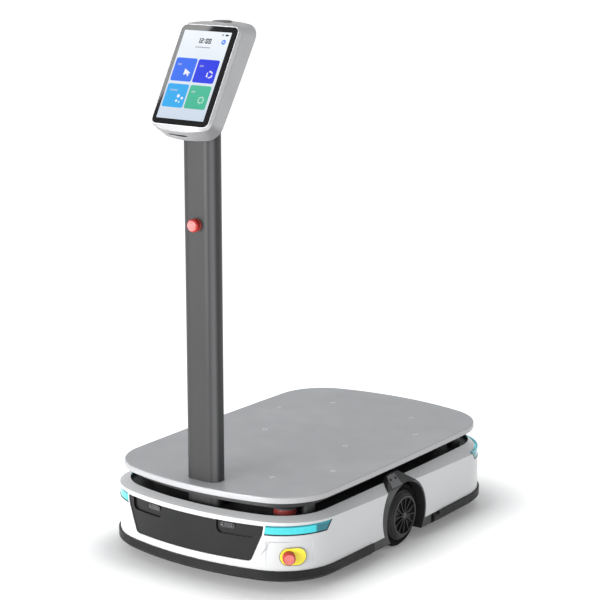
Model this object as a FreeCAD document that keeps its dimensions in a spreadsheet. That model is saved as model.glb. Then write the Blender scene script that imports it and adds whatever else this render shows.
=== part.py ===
import FreeCAD, Part
import math
import os
from types import SimpleNamespace

import Sketcher

# Delivery robot: a low wheeled base with a load deck, a mast and a tilted screen head.
# Millimetres. +Z is up, the robot drives towards -Y, X is its width. The origin lies on
# the floor at the middle of the footprint.

SIZES = (
    # plan outline of the body: a rounded rectangle whose ends and sides bow outwards
    ("shell_width", 636.0),
    ("shell_length", 979.0),
    ("corner_radius", 157.0),
    ("end_bow", 67.6),
    ("side_bow", 8.3),
    # front and rear shells
    ("shell_wall", 3.0),
    ("shell_bottom", 55.0),
    ("shell_top", 184.5),
    ("shoulder_inset", 27.0),
    ("front_break_height", 162.8),
    ("rear_break_height", 172.0),
    ("break_slope", 1.72),
    ("scoop_top", 128.7),
    ("scoop_bottom", 62.0),
    ("scoop_depth", 3.2),
    ("scoop_start", -69.0),
    ("scoop_sweep", 42.0),
    # wheel arches
    ("front_arch_radius", 109.5),
    ("front_arch_height", 98.0),
    ("front_arch_shift", 0.0),
    ("rear_arch_radius", 98.0),
    ("rear_arch_height", 83.0),
    ("rear_arch_shift", -5.0),
    ("arch_top_angle", 55.0),
    ("arch_crown", 200.0),
    ("liner_bore", 89.0),
    ("liner_depth", 31.0),
    ("liner_recess", 1.5),
    ("liner_bottom", 30.0),
    ("front_sill_end", 148.0),
    ("rear_sill_end", 121.0),
    # end panels and light strips
    ("panel_top", 165.5),
    ("panel_bottom", 73.5),
    ("panel_top_setback", 109.0),
    ("panel_knee_setback", 112.5),
    ("panel_knee", 143.0),
    ("panel_foot_setback", 141.0),
    ("panel_corner", 14.0),
    ("panel_recess", 2.5),
    ("panel_thickness", 8.0),
    ("camera_bay_setback", 19.0),
    ("camera_bay_length", 106.0),
    ("camera_bay_bottom", 132.0),
    ("camera_bay_depth", 5.0),
    ("camera_bay_corner", 14.0),
    ("camera_shift", 24.0),
    ("camera_rise", 22.0),
    ("camera_length", 40.0),
    ("camera_height", 13.0),
    ("camera_proud", 3.0),
    ("contact_shift", 26.0),
    ("contact_level", 108.0),
    ("contact_length", 34.0),
    ("contact_height", 12.0),
    ("contact_proud", 1.5),
    ("strip_bottom", 144.0),
    ("strip_top", 167.5),
    ("strip_depth", 6.0),
    ("strip_recess", 0.8),
    ("strip_front_angle", -70.4),
    ("strip_side_angle", -5.1),
    ("strip_end_slant", 20.0),
    # chassis
    ("floor_thickness", 4.0),
    ("rail_width", 28.0),
    ("rail_height", 45.0),
    ("rail_wall", 3.0),
    ("rail_setback", 109.5),
    ("caster_side_setback", 110.0),
    ("caster_end_setback", 154.5),
    ("caster_bay", 124.0),
    ("caster_bay_height", 50.0),
    ("bay_wall", 4.0),
    ("post_side_setback", 68.0),
    ("post_radius", 17.0),
    # tray, deck frame and load deck
    ("tray_inset", 20.0),
    ("tray_thickness", 3.0),
    ("plinth_inset", 112.0),
    ("plinth_wall", 4.0),
    ("deck_frame_inset", 45.0),
    ("deck_frame_height", 19.0),
    ("deck_frame_bar", 42.0),
    ("deck_inset", 13.0),
    ("deck_thickness", 16.0),
    ("deck_top", 234.0),
    ("deck_edge_round", 3.0),
    ("deck_insert_radius", 6.5),
    ("deck_thread_radius", 3.4),
    ("deck_hole_outer_x", 222.0),
    ("deck_hole_outer_y", 190.0),
    ("deck_hole_inner_x", 128.0),
    ("deck_hole_end_y", 315.0),
    # drive wheels
    ("wheel_radius", 83.0),
    ("tyre_bore", 66.0),
    ("tyre_width", 46.0),
    ("tyre_setback", 21.0),
    ("hub_cap_setback", 5.0),
    ("hub_cap_radius", 49.0),
    ("hub_dish_depth", 7.0),
    ("spoke_width", 2.6),
    ("hub_boss_radius", 9.0),
    ("axle_radius", 8.0),
    ("arm_length", 115.0),
    ("arm_thickness", 16.0),
    ("arm_setback", 110.0),
    ("pivot_height", 95.0),
    ("pivot_radius", 7.0),
    ("ear_thickness", 6.0),
    ("wheel_travel", 4.0),
    ("wheel_play", 1.0),
    # casters
    ("caster_wheel_radius", 30.0),
    ("caster_wheel_width", 24.0),
    ("caster_trail", 20.0),
    ("caster_plate_size", 76.0),
    ("caster_bolt_radius", 4.0),
    # bumpers
    ("bumper_bottom", 27.0),
    ("bumper_proud", 5.0),
    ("bumper_depth", 17.0),
    ("bumper_end", 152.0),
    ("bumper_travel", 4.0),
    ("bumper_rod_radius", 5.0),
    ("bumper_rod_x", 110.0),
    # mast
    ("mast_width", 96.0),
    ("mast_depth", 53.0),
    ("mast_corner", 25.0),
    ("mast_wall", 3.0),
    ("mast_setback", 77.5),
    ("mast_foot_width", 150.0),
    ("mast_foot_depth", 82.0),
    ("mast_foot_thickness", 8.0),
    # head
    ("head_lead", 24.7),
    ("head_height", 1218.6),
    ("head_tilt", 30.0),
    ("head_width", 182.0),
    ("head_length", 280.6),
    ("head_corner", 22.0),
    ("head_bow", 11.8),
    ("head_back_width", 178.0),
    ("head_back_length", 318.0),
    ("head_back_shift", 13.0),
    ("head_back_corner", 40.0),
    ("head_depth", 59.0),
    ("head_taper", 2.9),
    ("head_wall", 2.5),
    ("head_side_bow", 1.5),
    ("head_plate_depth", 23.0),
    ("bezel_depth", 10.0),
    ("bezel_bevel", 6.0),
    ("glass_width", 167.0),
    ("glass_length", 253.0),
    ("glass_corner", 14.0),
    ("glass_thickness", 2.0),
    ("display_width", 139.0),
    ("display_length", 224.0),
    ("display_thickness", 4.0),
    ("top_disc_radius", 24.5),
    ("chin_slot_width", 54.0),
    ("chin_slot_height", 11.0),
    ("chin_slot_depth", 28.0),
    ("chin_slot_shift", -15.0),
    ("chin_grille_thickness", 4.0),
    ("board_width", 120.0),
    ("board_length", 130.0),
    ("board_rise", 9.0),
    ("board_thickness", 1.6),
    # corner laser scanners
    ("scanner_side_setback", 110.5),
    ("scanner_end_setback", 118.5),
    ("scanner_radius", 30.0),
    ("scanner_window_height", 14.0),
    # battery and electronics
    ("battery_side_gap", 6.0),
    ("battery_length", 290.0),
    ("battery_height", 96.0),
    ("battery_y", 85.0),
    ("control_side_gap", 18.0),
    ("control_length", 190.0),
    ("control_height", 70.0),
    ("control_mast_gap", 41.0),
    ("driver_side_gap", 20.8),
    ("driver_middle_gap", 7.2),
    ("driver_length", 80.0),
    ("driver_height", 36.0),
    ("driver_y", 300.0),
    # stop buttons
    ("stop_button_radius", 15.5),
    ("stop_button_height", 11.0),
    ("stop_travel", 4.0),
    ("stop_barrel_radius", 11.0),
    ("mast_stop_height", 866.0),
    ("base_stop_height", 91.0),
    ("base_stop_angle", -48.8),
    ("stop_plate_length", 65.0),
    ("stop_plate_height", 44.0),
    ("stop_plate_proud", 1.5),
    # clearances
    ("fit_gap", 0.3),
    ("running_gap", 0.05),
)

doc = FreeCAD.newDocument("delivery_robot")
sheet = doc.addObject("Spreadsheet::Sheet", "sizes")
for row, (alias, value) in enumerate(SIZES, start=1):
    sheet.set(f"A{row}", alias)
    sheet.set(f"B{row}", str(value))
    sheet.setAlias(f"B{row}", alias)
doc.recompute()
size = SimpleNamespace(**{alias: float(sheet.get(alias)) for alias, _ in SIZES})

Vector = FreeCAD.Vector
Placement = FreeCAD.Placement
Rotation = FreeCAD.Rotation
X_AXIS = Vector(1, 0, 0)
Y_AXIS = Vector(0, 1, 0)
Z_AXIS = Vector(0, 0, 1)
UNTURNED = Rotation()
HALF_TURN = Placement(Vector(), Rotation(Z_AXIS, 180))
NODES = []


# ---------------------------------------------------------------- modelling helpers


def node(item, label):
    """Name a finished sub-part and list it for export."""
    item.Label = label
    NODES.append(item)
    return item


def tie(item, **links):
    """Bind properties to sheet cells: each link is an expression over the aliases."""
    for path, expression in links.items():
        words = expression
        for alias in sorted(vars(size), key=len, reverse=True):
            words = words.replace(f"<{alias}>", f"sizes.{alias}")
        item.setExpression(path, words)


def body(name):
    return doc.addObject("PartDesign::Body", name)


def sketch(part, plane, shapes, lift=0.0, lift_link=None, turn=UNTURNED, shift=Vector()):
    """A sketch on one of the body's origin planes, lifted along the plane's normal."""
    drawing = part.newObject("Sketcher::SketchObject", f"{part.Name}_sketch")
    planes = [item for item in part.Origin.OriginFeatures if item.Role == f"{plane}_Plane"]
    drawing.AttachmentSupport = [(planes[0], "")]
    drawing.MapMode = "FlatFace"
    drawing.AttachmentOffset = Placement(shift + Vector(0, 0, lift), turn)
    if lift_link:
        tie(drawing, **{"AttachmentOffset.Base.z": lift_link})
    for shape in shapes:
        drawing.addGeometry(shape, False)
    return drawing


def grow(part, kind, profile, **settings):
    """Add a PartDesign feature made from a sketch. Text settings are sheet expressions."""
    item = part.newObject(f"PartDesign::{kind}", f"{part.Name}_{kind.lower()}")
    item.Profile = profile
    for name, setting in settings.items():
        if isinstance(setting, str) and "<" in setting:
            tie(item, **{name: setting})
        else:
            setattr(item, name, setting)
    return item


def pad(part, profile, length, **settings):
    return grow(part, "Pad", profile, Length=length, **settings)


def pocket(part, profile, length, **settings):
    return grow(part, "Pocket", profile, Length=length, **settings)


def pocket_through(part, profile, **settings):
    return grow(part, "Pocket", profile, Type="ThroughAll", **settings)


def revolve(part, profile, axis="H_Axis", kind="Revolution", angle=360.0, **settings):
    return grow(part, kind, profile, ReferenceAxis=(profile, [axis]), Angle=angle, **settings)


def loft(part, profile, sections, kind="AdditiveLoft"):
    return grow(part, kind, profile, Sections=sections, Ruled=True)


def mirrored(part, features):
    """Repeat features on the other side of the body's YZ plane."""
    copy = part.newObject("PartDesign::Mirrored", f"{part.Name}_mirrored")
    planes = [item for item in part.Origin.OriginFeatures if item.Role == "YZ_Plane"]
    copy.Originals = features
    copy.MirrorPlane = (planes[0], [""])
    part.Tip = copy
    return copy


def polar(part, features, axis_role, count):
    pattern = part.newObject("PartDesign::PolarPattern", f"{part.Name}_polar")
    axes = [item for item in part.Origin.OriginFeatures if item.Role == axis_role]
    pattern.Originals = features
    pattern.Axis = (axes[0], [""])
    pattern.Angle = 360.0
    pattern.Occurrences = count
    part.Tip = pattern
    return pattern


def soften(part, choose, amount, kind="Fillet"):
    """Round or bevel the tip's edges that choose(edge) picks."""
    doc.recompute()
    base = part.Tip
    names = [f"Edge{n}" for n, edge in enumerate(base.Shape.Edges, start=1) if choose(edge)]
    item = part.newObject(f"PartDesign::{kind}", f"{part.Name}_{kind.lower()}")
    item.Base = (base, names)
    tie(item, **{"Radius" if kind == "Fillet" else "Size": amount})
    return item


def fused(name, items):
    item = doc.addObject("Part::MultiFuse", name)
    item.Shapes = items
    return item


def gathered(name, items):
    """Separate solids that make up one sub-part."""
    item = doc.addObject("Part::Compound", name)
    item.Links = items
    return item


def cut(name, base, tool):
    item = doc.addObject("Part::Cut", name)
    item.Base = base
    item.Tool = tool
    return item


def block(name, links, place):
    item = doc.addObject("Part::Box", name)
    tie(item, **links)
    item.Placement = place
    return item


def cylinder(name, radius, height, place):
    item = doc.addObject("Part::Cylinder", name)
    tie(item, Radius=radius, Height=height)
    item.Placement = place
    return item


def at(x=0.0, y=0.0, z=0.0, rotation=UNTURNED):
    return Placement(Vector(x, y, z), rotation)


# ---------------------------------------------------------------- flat shapes


def polygon(points):
    ends = points[1:] + points[:1]
    return [Part.LineSegment(Vector(*a, 0), Vector(*b, 0)) for a, b in zip(points, ends)]


def circle(x, y, radius):
    return [Part.Circle(Vector(x, y, 0), Z_AXIS, radius)]


def arc(centre, radius, start, end):
    """Anticlockwise arc between two angles in degrees."""
    ring = Part.Circle(Vector(*centre, 0), Z_AXIS, radius)
    return Part.ArcOfCircle(ring, math.radians(start), math.radians(end))


def on_circle(centre, radius, angle):
    bearing = math.radians(angle)
    return (centre[0] + radius * math.cos(bearing), centre[1] + radius * math.sin(bearing))


def line(start, end):
    return Part.LineSegment(Vector(*start, 0), Vector(*end, 0))


def rounded_box(x, y, width, height, radius):
    """Rectangle centred on (x, y) with round corners."""
    near_x, near_y = width / 2 - radius, height / 2 - radius
    shapes = []
    for sign_x, sign_y, start in ((1, 1, 0), (-1, 1, 90), (-1, -1, 180), (1, -1, 270)):
        corner = (x + sign_x * near_x, y + sign_y * near_y)
        shapes.append(arc(corner, radius, start, start + 90))
    for start, end in (((near_x, height / 2), (-near_x, height / 2)),
                       ((-width / 2, near_y), (-width / 2, -near_y)),
                       ((-near_x, -height / 2), (near_x, -height / 2)),
                       ((width / 2, -near_y), (width / 2, near_y))):
        shapes.append(line((x + start[0], y + start[1]), (x + end[0], y + end[1])))
    return shapes


class BowedBox:
    """A rounded rectangle whose four edges are shallow arcs, tangent to its corners."""

    def __init__(self, width, length, corner, end_bow, side_bow):
        half_width, half_length = width / 2, length / 2
        self.corner_radius = corner
        self.end_radius = (half_width ** 2 + end_bow ** 2) / (2 * end_bow)
        self.side_radius = (half_length ** 2 + side_bow ** 2) / (2 * side_bow)
        self.end_centre = (0.0, self.end_radius - half_length)
        self.side_centre = (half_width - self.side_radius, 0.0)
        # the corner's centre lies where circles about the two edge centres meet
        gap = math.hypot(self.side_centre[0], self.end_centre[1])
        to_end, to_side = self.end_radius - corner, self.side_radius - corner
        along = (gap ** 2 + to_end ** 2 - to_side ** 2) / (2 * gap)
        across = math.sqrt(to_end ** 2 - along ** 2)
        unit_x = self.side_centre[0] / gap
        unit_y = -self.end_centre[1] / gap
        choices = [(along * unit_x - turn * across * unit_y,
                    self.end_centre[1] + along * unit_y + turn * across * unit_x)
                   for turn in (1, -1)]
        self.corner = max(choices, key=lambda point: point[0] - point[1])
        self.end_angle = math.degrees(math.atan2(self.corner[1] - self.end_centre[1],
                                                 self.corner[0]))
        self.side_angle = math.degrees(math.atan2(self.corner[1],
                                                  self.corner[0] - self.side_centre[0]))

    def edges(self):
        """Centre, radius, start and end angle of each of the eight arcs."""
        corner, first, last = self.corner, self.end_angle, self.side_angle
        end_y, side_x = self.end_centre[1], self.side_centre[0]
        return [(self.end_centre, self.end_radius, -180 - first, first),
                (corner, self.corner_radius, first, last),
                (self.side_centre, self.side_radius, last, -last),
                ((corner[0], -corner[1]), self.corner_radius, -last, -first),
                ((0, -end_y), self.end_radius, -first, 180 + first),
                ((-corner[0], -corner[1]), self.corner_radius, 180 + first, 180 + last),
                ((-side_x, 0), self.side_radius, 180 + last, 180 - last),
                ((-corner[0], corner[1]), self.corner_radius, 180 - last, 180 - first)]

    def loop(self, offset):
        """The eight arcs, all moved outwards by offset."""
        return [arc(centre, radius + offset, start, end)
                for centre, radius, start, end in self.edges()]

    def side_point(self, offset, y):
        """Point on the +X side edge, or on the corner next to it, at height y."""
        centre, radius = self.side_centre, self.side_radius + offset
        edge_end = on_circle(centre, radius, self.side_angle)
        if y < edge_end[1]:
            centre, radius = self.corner, self.corner_radius + offset
        return (centre[0] + math.sqrt(radius ** 2 - (y - centre[1]) ** 2), y)

    def front_u(self, offset, y):
        """The arcs round the -Y end, from height y on one side to height y on the other."""
        side = self.side_radius + offset
        stop = math.degrees(math.asin(y / side))
        first, last = self.end_angle, self.side_angle
        corner, reach = self.corner, self.corner_radius + offset
        return [arc(self.end_centre, self.end_radius + offset, -180 - first, first),
                arc(corner, reach, first, last),
                arc((-corner[0], corner[1]), reach, 180 - last, 180 - first),
                arc(self.side_centre, side, last, stop),
                arc((-self.side_centre[0], 0), side, 180 - stop, 180 - last)]

    def offset_at(self, x, y):
        """How far a point lies outside the outline; negative inside it."""
        x, y = abs(x), -abs(y)
        corner_x, corner_y = self.corner
        bearing = math.degrees(math.atan2(y - corner_y, x - corner_x))
        if self.end_angle <= bearing <= self.side_angle:
            return math.hypot(x - corner_x, y - corner_y) - self.corner_radius
        if y < corner_y:
            return math.hypot(x, y - self.end_centre[1]) - self.end_radius
        return math.hypot(x - self.side_centre[0], y) - self.side_radius

    def end_point(self, offset, x):
        """Point on the -Y edge at x."""
        radius = self.end_radius + offset
        return (x, self.end_centre[1] - math.sqrt(radius ** 2 - x ** 2))


OUTLINE = BowedBox(size.shell_width, size.shell_length, size.corner_radius,
                   size.end_bow, size.side_bow)

# places set back from the shells' sides and ends
HALF_WIDTH = size.shell_width / 2
HALF_LENGTH = size.shell_length / 2
CASTER_X = HALF_WIDTH - size.caster_side_setback
CASTER_Y = HALF_LENGTH - size.caster_end_setback
POST_X = HALF_WIDTH - size.post_side_setback
MAST_Y = size.mast_setback - HALF_LENGTH
HEAD_Y = MAST_Y - size.head_lead
TYRE_FACE = HALF_WIDTH - size.tyre_setback
HUB_CAP_FACE = HALF_WIDTH - size.hub_cap_setback
ARM_FACE = HALF_WIDTH - size.arm_setback
# the chassis rails run along the inner sides of the caster bays
RAIL_X = CASTER_X - size.caster_bay / 2 - size.rail_width / 2
RAIL_INNER_FACE = RAIL_X - size.rail_width / 2


# ---------------------------------------------------------------- pieces cut to the outline


def prism(name, shapes, near, length):
    """Pad an XZ outline towards -Y, starting at y = -near."""
    part = body(name)
    pad(part, sketch(part, "XZ", shapes, lift=near), length)
    return part


def ring(name, outer, inner, bottom, top):
    """Upright band between two offsets of the body's outline."""
    part = body(name)
    loops = OUTLINE.loop(outer) + OUTLINE.loop(inner)
    pad(part, sketch(part, "XY", loops, lift=bottom), top - bottom)
    return part


def curved_slab(name, shapes, outer, inner):
    """The part of an XZ outline that lies between two offsets, at the -Y end."""
    slab = doc.addObject("Part::Common", name)
    near = size.shell_length / 4
    slab.Base = prism(f"{name}_prism", shapes, near, near * 2)
    slab.Tool = ring(f"{name}_ring", outer, inner, 0, size.deck_top)
    return slab


def panel_outline(gap):
    """End panel: wide at the top between the light strips, narrower at the foot."""
    top, bottom = size.panel_top - gap, size.panel_bottom + gap
    corner = size.panel_corner - gap
    brow_half = HALF_WIDTH - size.panel_top_setback
    knee_half = HALF_WIDTH - size.panel_knee_setback
    foot_half = HALF_WIDTH - size.panel_foot_setback
    side = (knee_half - foot_half, size.panel_knee - size.panel_bottom)
    slope = math.atan2(side[1], side[0])
    # the foot's corner is tangent to the bottom edge and to the slanting side
    bend = math.pi - slope
    foot_x = foot_half - gap - corner / math.tan(bend / 2)
    centre = (foot_x, bottom + corner)
    tangent = on_circle(centre, corner, math.degrees(slope) - 90)
    knee, brow = (knee_half - gap, size.panel_knee), (brow_half - gap, top)
    shapes = [line((-brow[0], top), brow), line((-foot_x, bottom), (foot_x, bottom))]
    for sign in (1, -1):
        shapes.append(line((sign * brow[0], top), (sign * knee[0], knee[1])))
        shapes.append(line((sign * knee[0], knee[1]), (sign * tangent[0], tangent[1])))
    shapes.append(arc(centre, corner, -90, math.degrees(slope) - 90))
    shapes.append(arc((-foot_x, centre[1]), corner, 270 - math.degrees(slope), 270))
    return shapes


def camera_bay_ends():
    """Distances of a camera bay's two ends from the panel's middle."""
    far = HALF_WIDTH - size.panel_top_setback - size.camera_bay_setback
    return far - size.camera_bay_length, far


def camera_bay_outline(side):
    """Recess below the panel's top edge for one depth camera."""
    left, right = sorted(side * end for end in camera_bay_ends())
    bottom, top = size.camera_bay_bottom, size.panel_top + size.bumper_proud
    corner = size.camera_bay_corner
    return [line((left, top), (left, bottom + corner)),
            line((right, bottom + corner), (right, top)),
            line((left + corner, bottom), (right - corner, bottom)), line((right, top), (left, top)),
            arc((left + corner, bottom + corner), corner, 180, 270),
            arc((right - corner, bottom + corner), corner, 270, 360)]


def end_panel(label, place):
    blank = curved_slab(f"{label}_blank", panel_outline(size.fit_gap), -size.panel_recess,
                        -size.panel_recess - size.panel_thickness)
    bays = [curved_slab(f"{label}_bay", camera_bay_outline(side), size.bumper_proud,
                        -size.panel_recess - size.camera_bay_depth) for side in (1, -1)]
    panel = cut(f"{label}_cut", blank, fused(f"{label}_bays", bays))
    panel.Placement = place
    return node(panel, label)


def depth_cameras(label):
    """Two stereo camera bars, one on the floor of each bay."""
    bars = []
    floor = -size.panel_recess - size.camera_bay_depth
    middle = sum(camera_bay_ends()) / 2 - size.camera_shift
    level = size.camera_bay_bottom + size.camera_rise
    for side in (1, -1):
        outline = rounded_box(side * middle, level, size.camera_length, size.camera_height,
                              size.camera_height / 2 - size.fit_gap)
        bars.append(curved_slab(f"{label}_bar", outline, floor + size.camera_proud, floor))
    return node(fused(label, bars), label)


def light_strip(name, gap=0.0):
    """Light strip round one front corner, with slanted ends."""
    part = body(name)
    outer = size.corner_radius - (size.strip_recess if gap == 0 else -size.bumper_proud)
    inner = size.corner_radius - size.strip_depth - (0 if gap == 0 else size.shell_wall)
    bottom, top = size.strip_bottom - gap, size.strip_top + gap
    slack = math.degrees(gap / size.corner_radius)
    section = polygon([(inner, bottom), (outer, bottom), (outer, top), (inner, top)])
    stand = sketch(part, "XZ", section)
    corner = Placement(Vector(*OUTLINE.corner, 0),
                       Rotation(Z_AXIS, size.strip_front_angle - slack))
    upright = Placement(Vector(), Rotation(X_AXIS, 90))
    stand.AttachmentOffset = upright.inverse().multiply(corner).multiply(upright)
    sweep = size.strip_side_angle - size.strip_front_angle + 2 * slack
    revolve(part, stand, axis="V_Axis", angle=sweep)
    slant = size.strip_end_slant
    front = on_circle(OUTLINE.corner, size.corner_radius, size.strip_front_angle - slack)[0]
    side = on_circle(OUTLINE.corner, size.corner_radius, size.strip_side_angle + slack)[1]
    lean = (top - bottom) * math.tan(math.radians(slant))
    front_cut = polygon([(front - slant, bottom), (front, bottom),
                         (front + lean * 0.4, top), (front - slant, top)])
    side_cut = polygon([(side + slant, bottom), (side + slant, top), (side, top),
                        (side - lean * 2, bottom)])
    pocket_through(part, sketch(part, "XZ", front_cut), SideType="Symmetric")
    pocket_through(part, sketch(part, "YZ", side_cut), SideType="Symmetric")
    return part


def light_strips(label, place):
    """The two strips of one end."""
    right = light_strip(f"{label}_right")
    left = doc.addObject("Part::Mirroring", f"{label}_left")
    left.Source = light_strip(f"{label}_twin")
    left.Normal = X_AXIS
    pair = fused(label, [right, left])
    pair.Placement = place
    return node(pair, label)


def stop_frame():
    """Frame of the base stop button: its Z axis points out of the shell's corner."""
    spot = on_circle(OUTLINE.corner, size.corner_radius, size.base_stop_angle)
    turn = Rotation(Z_AXIS, size.base_stop_angle).multiply(Rotation(Y_AXIS, 90))
    return Placement(Vector(*spot, size.base_stop_height), turn)


def stop_plate_prism(name, gap):
    """Pill outline round the base stop button, run through the shell's wall."""
    length, height = size.stop_plate_length + 2 * gap, size.stop_plate_height + 2 * gap
    part = body(name)
    along = (size.stop_plate_length - size.stop_plate_height) / 2
    outline = rounded_box(0, along, height, length, height / 2 - 0.1)
    reach = size.shell_wall * 4
    pad(part, sketch(part, "XY", outline, lift=-reach), 2 * reach)
    part.Placement = stop_frame()
    return part


def arch_edge(shift, height, radius, top, bottom):
    """One side of the wheel arch, at the -Y side of the wheel: an arc and its tangent."""
    lean = math.radians(size.arch_top_angle)
    knee = on_circle((shift, height), radius, 180 - size.arch_top_angle)
    rise = (top - knee[1]) / math.cos(lean)
    crest = (knee[0] + rise * math.sin(lean), top)
    foot_angle = 180 + math.degrees(math.asin((height - bottom) / radius))
    foot = on_circle((shift, height), radius, foot_angle)
    bend = arc((shift, height), radius, 180 - size.arch_top_angle, foot_angle)
    return foot, knee, crest, bend


def shell(label, place, break_height, break_slope, arch, stop_button):
    """Moulded cover of one end, drawn as the -Y one: walls, sloping shoulder, open top."""
    form = body(f"{label}_form")
    wall, inset = size.shell_wall, size.shoulder_inset
    rim = size.shell_top - wall
    tilt = Rotation(X_AXIS, break_slope)
    foot = sketch(form, "XY", OUTLINE.loop(0), lift_link="<shell_bottom>")
    knee = sketch(form, "XY", OUTLINE.loop(0), lift=break_height, turn=tilt)
    brow = sketch(form, "XY", OUTLINE.loop(-inset), lift_link="<shell_top>")
    loft(form, foot, [knee, brow])
    inner_foot = sketch(form, "XY", OUTLINE.loop(-wall), lift=size.shell_bottom)
    inner_knee = sketch(form, "XY", OUTLINE.loop(-wall), lift=break_height - wall / 2,
                        turn=tilt)
    inner_brow = sketch(form, "XY", OUTLINE.loop(-inset), lift=rim)
    loft(form, inner_foot, [inner_knee, inner_brow], kind="SubtractiveLoft")
    opening = sketch(form, "XY", OUTLINE.loop(-inset), lift=rim - 1)
    pocket_through(form, opening, Reversed=True)
    edge_foot, edge_knee, crest, bend = arch_edge(*arch, size.arch_crown, size.liner_bottom)
    far = size.shell_length
    beyond = [bend, line(edge_knee, crest), line(crest, (far, crest[1])),
              line((far, crest[1]), (far, edge_foot[1])), line((far, edge_foot[1]), edge_foot)]
    pocket_through(form, sketch(form, "YZ", beyond), SideType="Symmetric")
    radius = size.corner_radius
    section = polygon([(radius, size.scoop_bottom), (radius + wall, size.scoop_bottom),
                       (radius + wall, size.scoop_top),
                       (radius - size.scoop_depth + 1, size.scoop_top)])
    stand = sketch(form, "XZ", section)
    corner = Placement(Vector(*OUTLINE.corner, 0), Rotation(Z_AXIS, size.scoop_start))
    upright = Placement(Vector(), Rotation(X_AXIS, 90))
    stand.AttachmentOffset = upright.inverse().multiply(corner).multiply(upright)
    scoop = revolve(form, stand, axis="V_Axis", kind="Groove", angle=size.scoop_sweep)
    mirrored(form, [scoop])
    left = doc.addObject("Part::Mirroring", f"{label}_left_window")
    left.Source = light_strip(f"{label}_twin_window", gap=size.fit_gap)
    left.Normal = X_AXIS
    openings = [light_strip(f"{label}_right_window", gap=size.fit_gap), left,
                prism(f"{label}_panel_window", panel_outline(0), size.shell_length / 4,
                      size.shell_length / 2)]
    if stop_button:
        openings.append(stop_plate_prism(f"{label}_stop_window", size.fit_gap))
    cover = cut(f"{label}_cut", form, fused(f"{label}_openings", openings))
    cover.Placement = place
    return node(cover, label)


def bumper(label, place):
    """Rubber-faced bumper bar round one end, with the rods that guide it."""
    part = body(f"{label}_bar")
    outer, inner = size.bumper_proud, size.bumper_proud - size.bumper_depth
    stop = -size.bumper_end
    ends = [(OUTLINE.side_point(offset, stop)[0], stop) for offset in (outer, inner)]
    shapes = OUTLINE.front_u(outer, stop) + OUTLINE.front_u(inner, stop)
    shapes.append(line(*ends))
    shapes.append(line((-ends[0][0], stop), (-ends[1][0], stop)))
    height = size.shell_bottom - size.fit_gap - size.bumper_bottom
    pad(part, sketch(part, "XY", shapes, lift_link="<bumper_bottom>"), height)

    def lower_outer(edge):
        middle = edge.valueAt((edge.FirstParameter + edge.LastParameter) / 2)
        outside = abs(OUTLINE.offset_at(middle.x, middle.y) - outer) < 0.1
        return outside and edge.BoundBox.ZMax < size.bumper_bottom + 1

    soften(part, lower_outer, "<bumper_depth> / 2", kind="Chamfer")
    rods = []
    for side in (1, -1):
        front = OUTLINE.end_point(inner, size.bumper_rod_x)[1]
        middle = (size.bumper_bottom + size.shell_bottom) / 2
        spot = at(side * size.bumper_rod_x, front, middle, Rotation(X_AXIS, -90))
        rods.append(cylinder(f"{label}_rod", "<bumper_rod_radius>", "<bumper_depth> * 2", spot))
    bar = fused(label, [part] + rods)
    bar.Placement = place
    return node(bar, label)


def bumper_guides(label):
    """Bushes under the chassis floor in which the bumper rods slide."""
    guides = []
    middle = (size.bumper_bottom + size.shell_bottom) / 2
    bush = size.bumper_rod_radius + 4
    front = OUTLINE.end_point(size.bumper_proud - size.bumper_depth, size.bumper_rod_x)[1]
    start = front + size.bumper_travel + 2
    for end in (at(), HALF_TURN):
        for side in (1, -1):
            spot = at(side * size.bumper_rod_x - bush, start, middle - bush)
            foot = block(f"{label}_block",
                         dict(Length="<bumper_rod_radius> * 2 + 8", Width="<bumper_depth>",
                              Height="(<shell_bottom> - <bumper_bottom>) / 2"
                                     " + <bumper_rod_radius> + 4"), spot)
            bore = cylinder(f"{label}_bore", "<bumper_rod_radius> + <running_gap>",
                            "<bumper_depth> * 2",
                            at(side * size.bumper_rod_x, start - size.bumper_depth / 2, middle,
                               Rotation(X_AXIS, -90)))
            guide = cut(f"{label}_guide", foot, bore)
            guide.Placement = end
            guides.append(guide)
    return node(fused(label, guides), label)


shell("front_shell", at(), size.front_break_height, -size.break_slope,
      (size.front_arch_shift, size.front_arch_height, size.front_arch_radius), True)
shell("rear_shell", HALF_TURN, size.rear_break_height, size.break_slope,
      (-size.rear_arch_shift, size.rear_arch_height, size.rear_arch_radius), False)
end_panel("front_panel", at())
end_panel("rear_panel", HALF_TURN)
depth_cameras("depth_cameras")
light_strips("front_light_strips", at())
light_strips("rear_light_strips", HALF_TURN)
bumper("front_bumper", at())
bumper("rear_bumper", HALF_TURN)
bumper_guides("bumper_guides")


# ---------------------------------------------------------------- chassis, tray and deck


def four_corners():
    """Signs of the four quadrants, front first."""
    return [(1, -1), (-1, -1), (1, 1), (-1, 1)]


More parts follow.
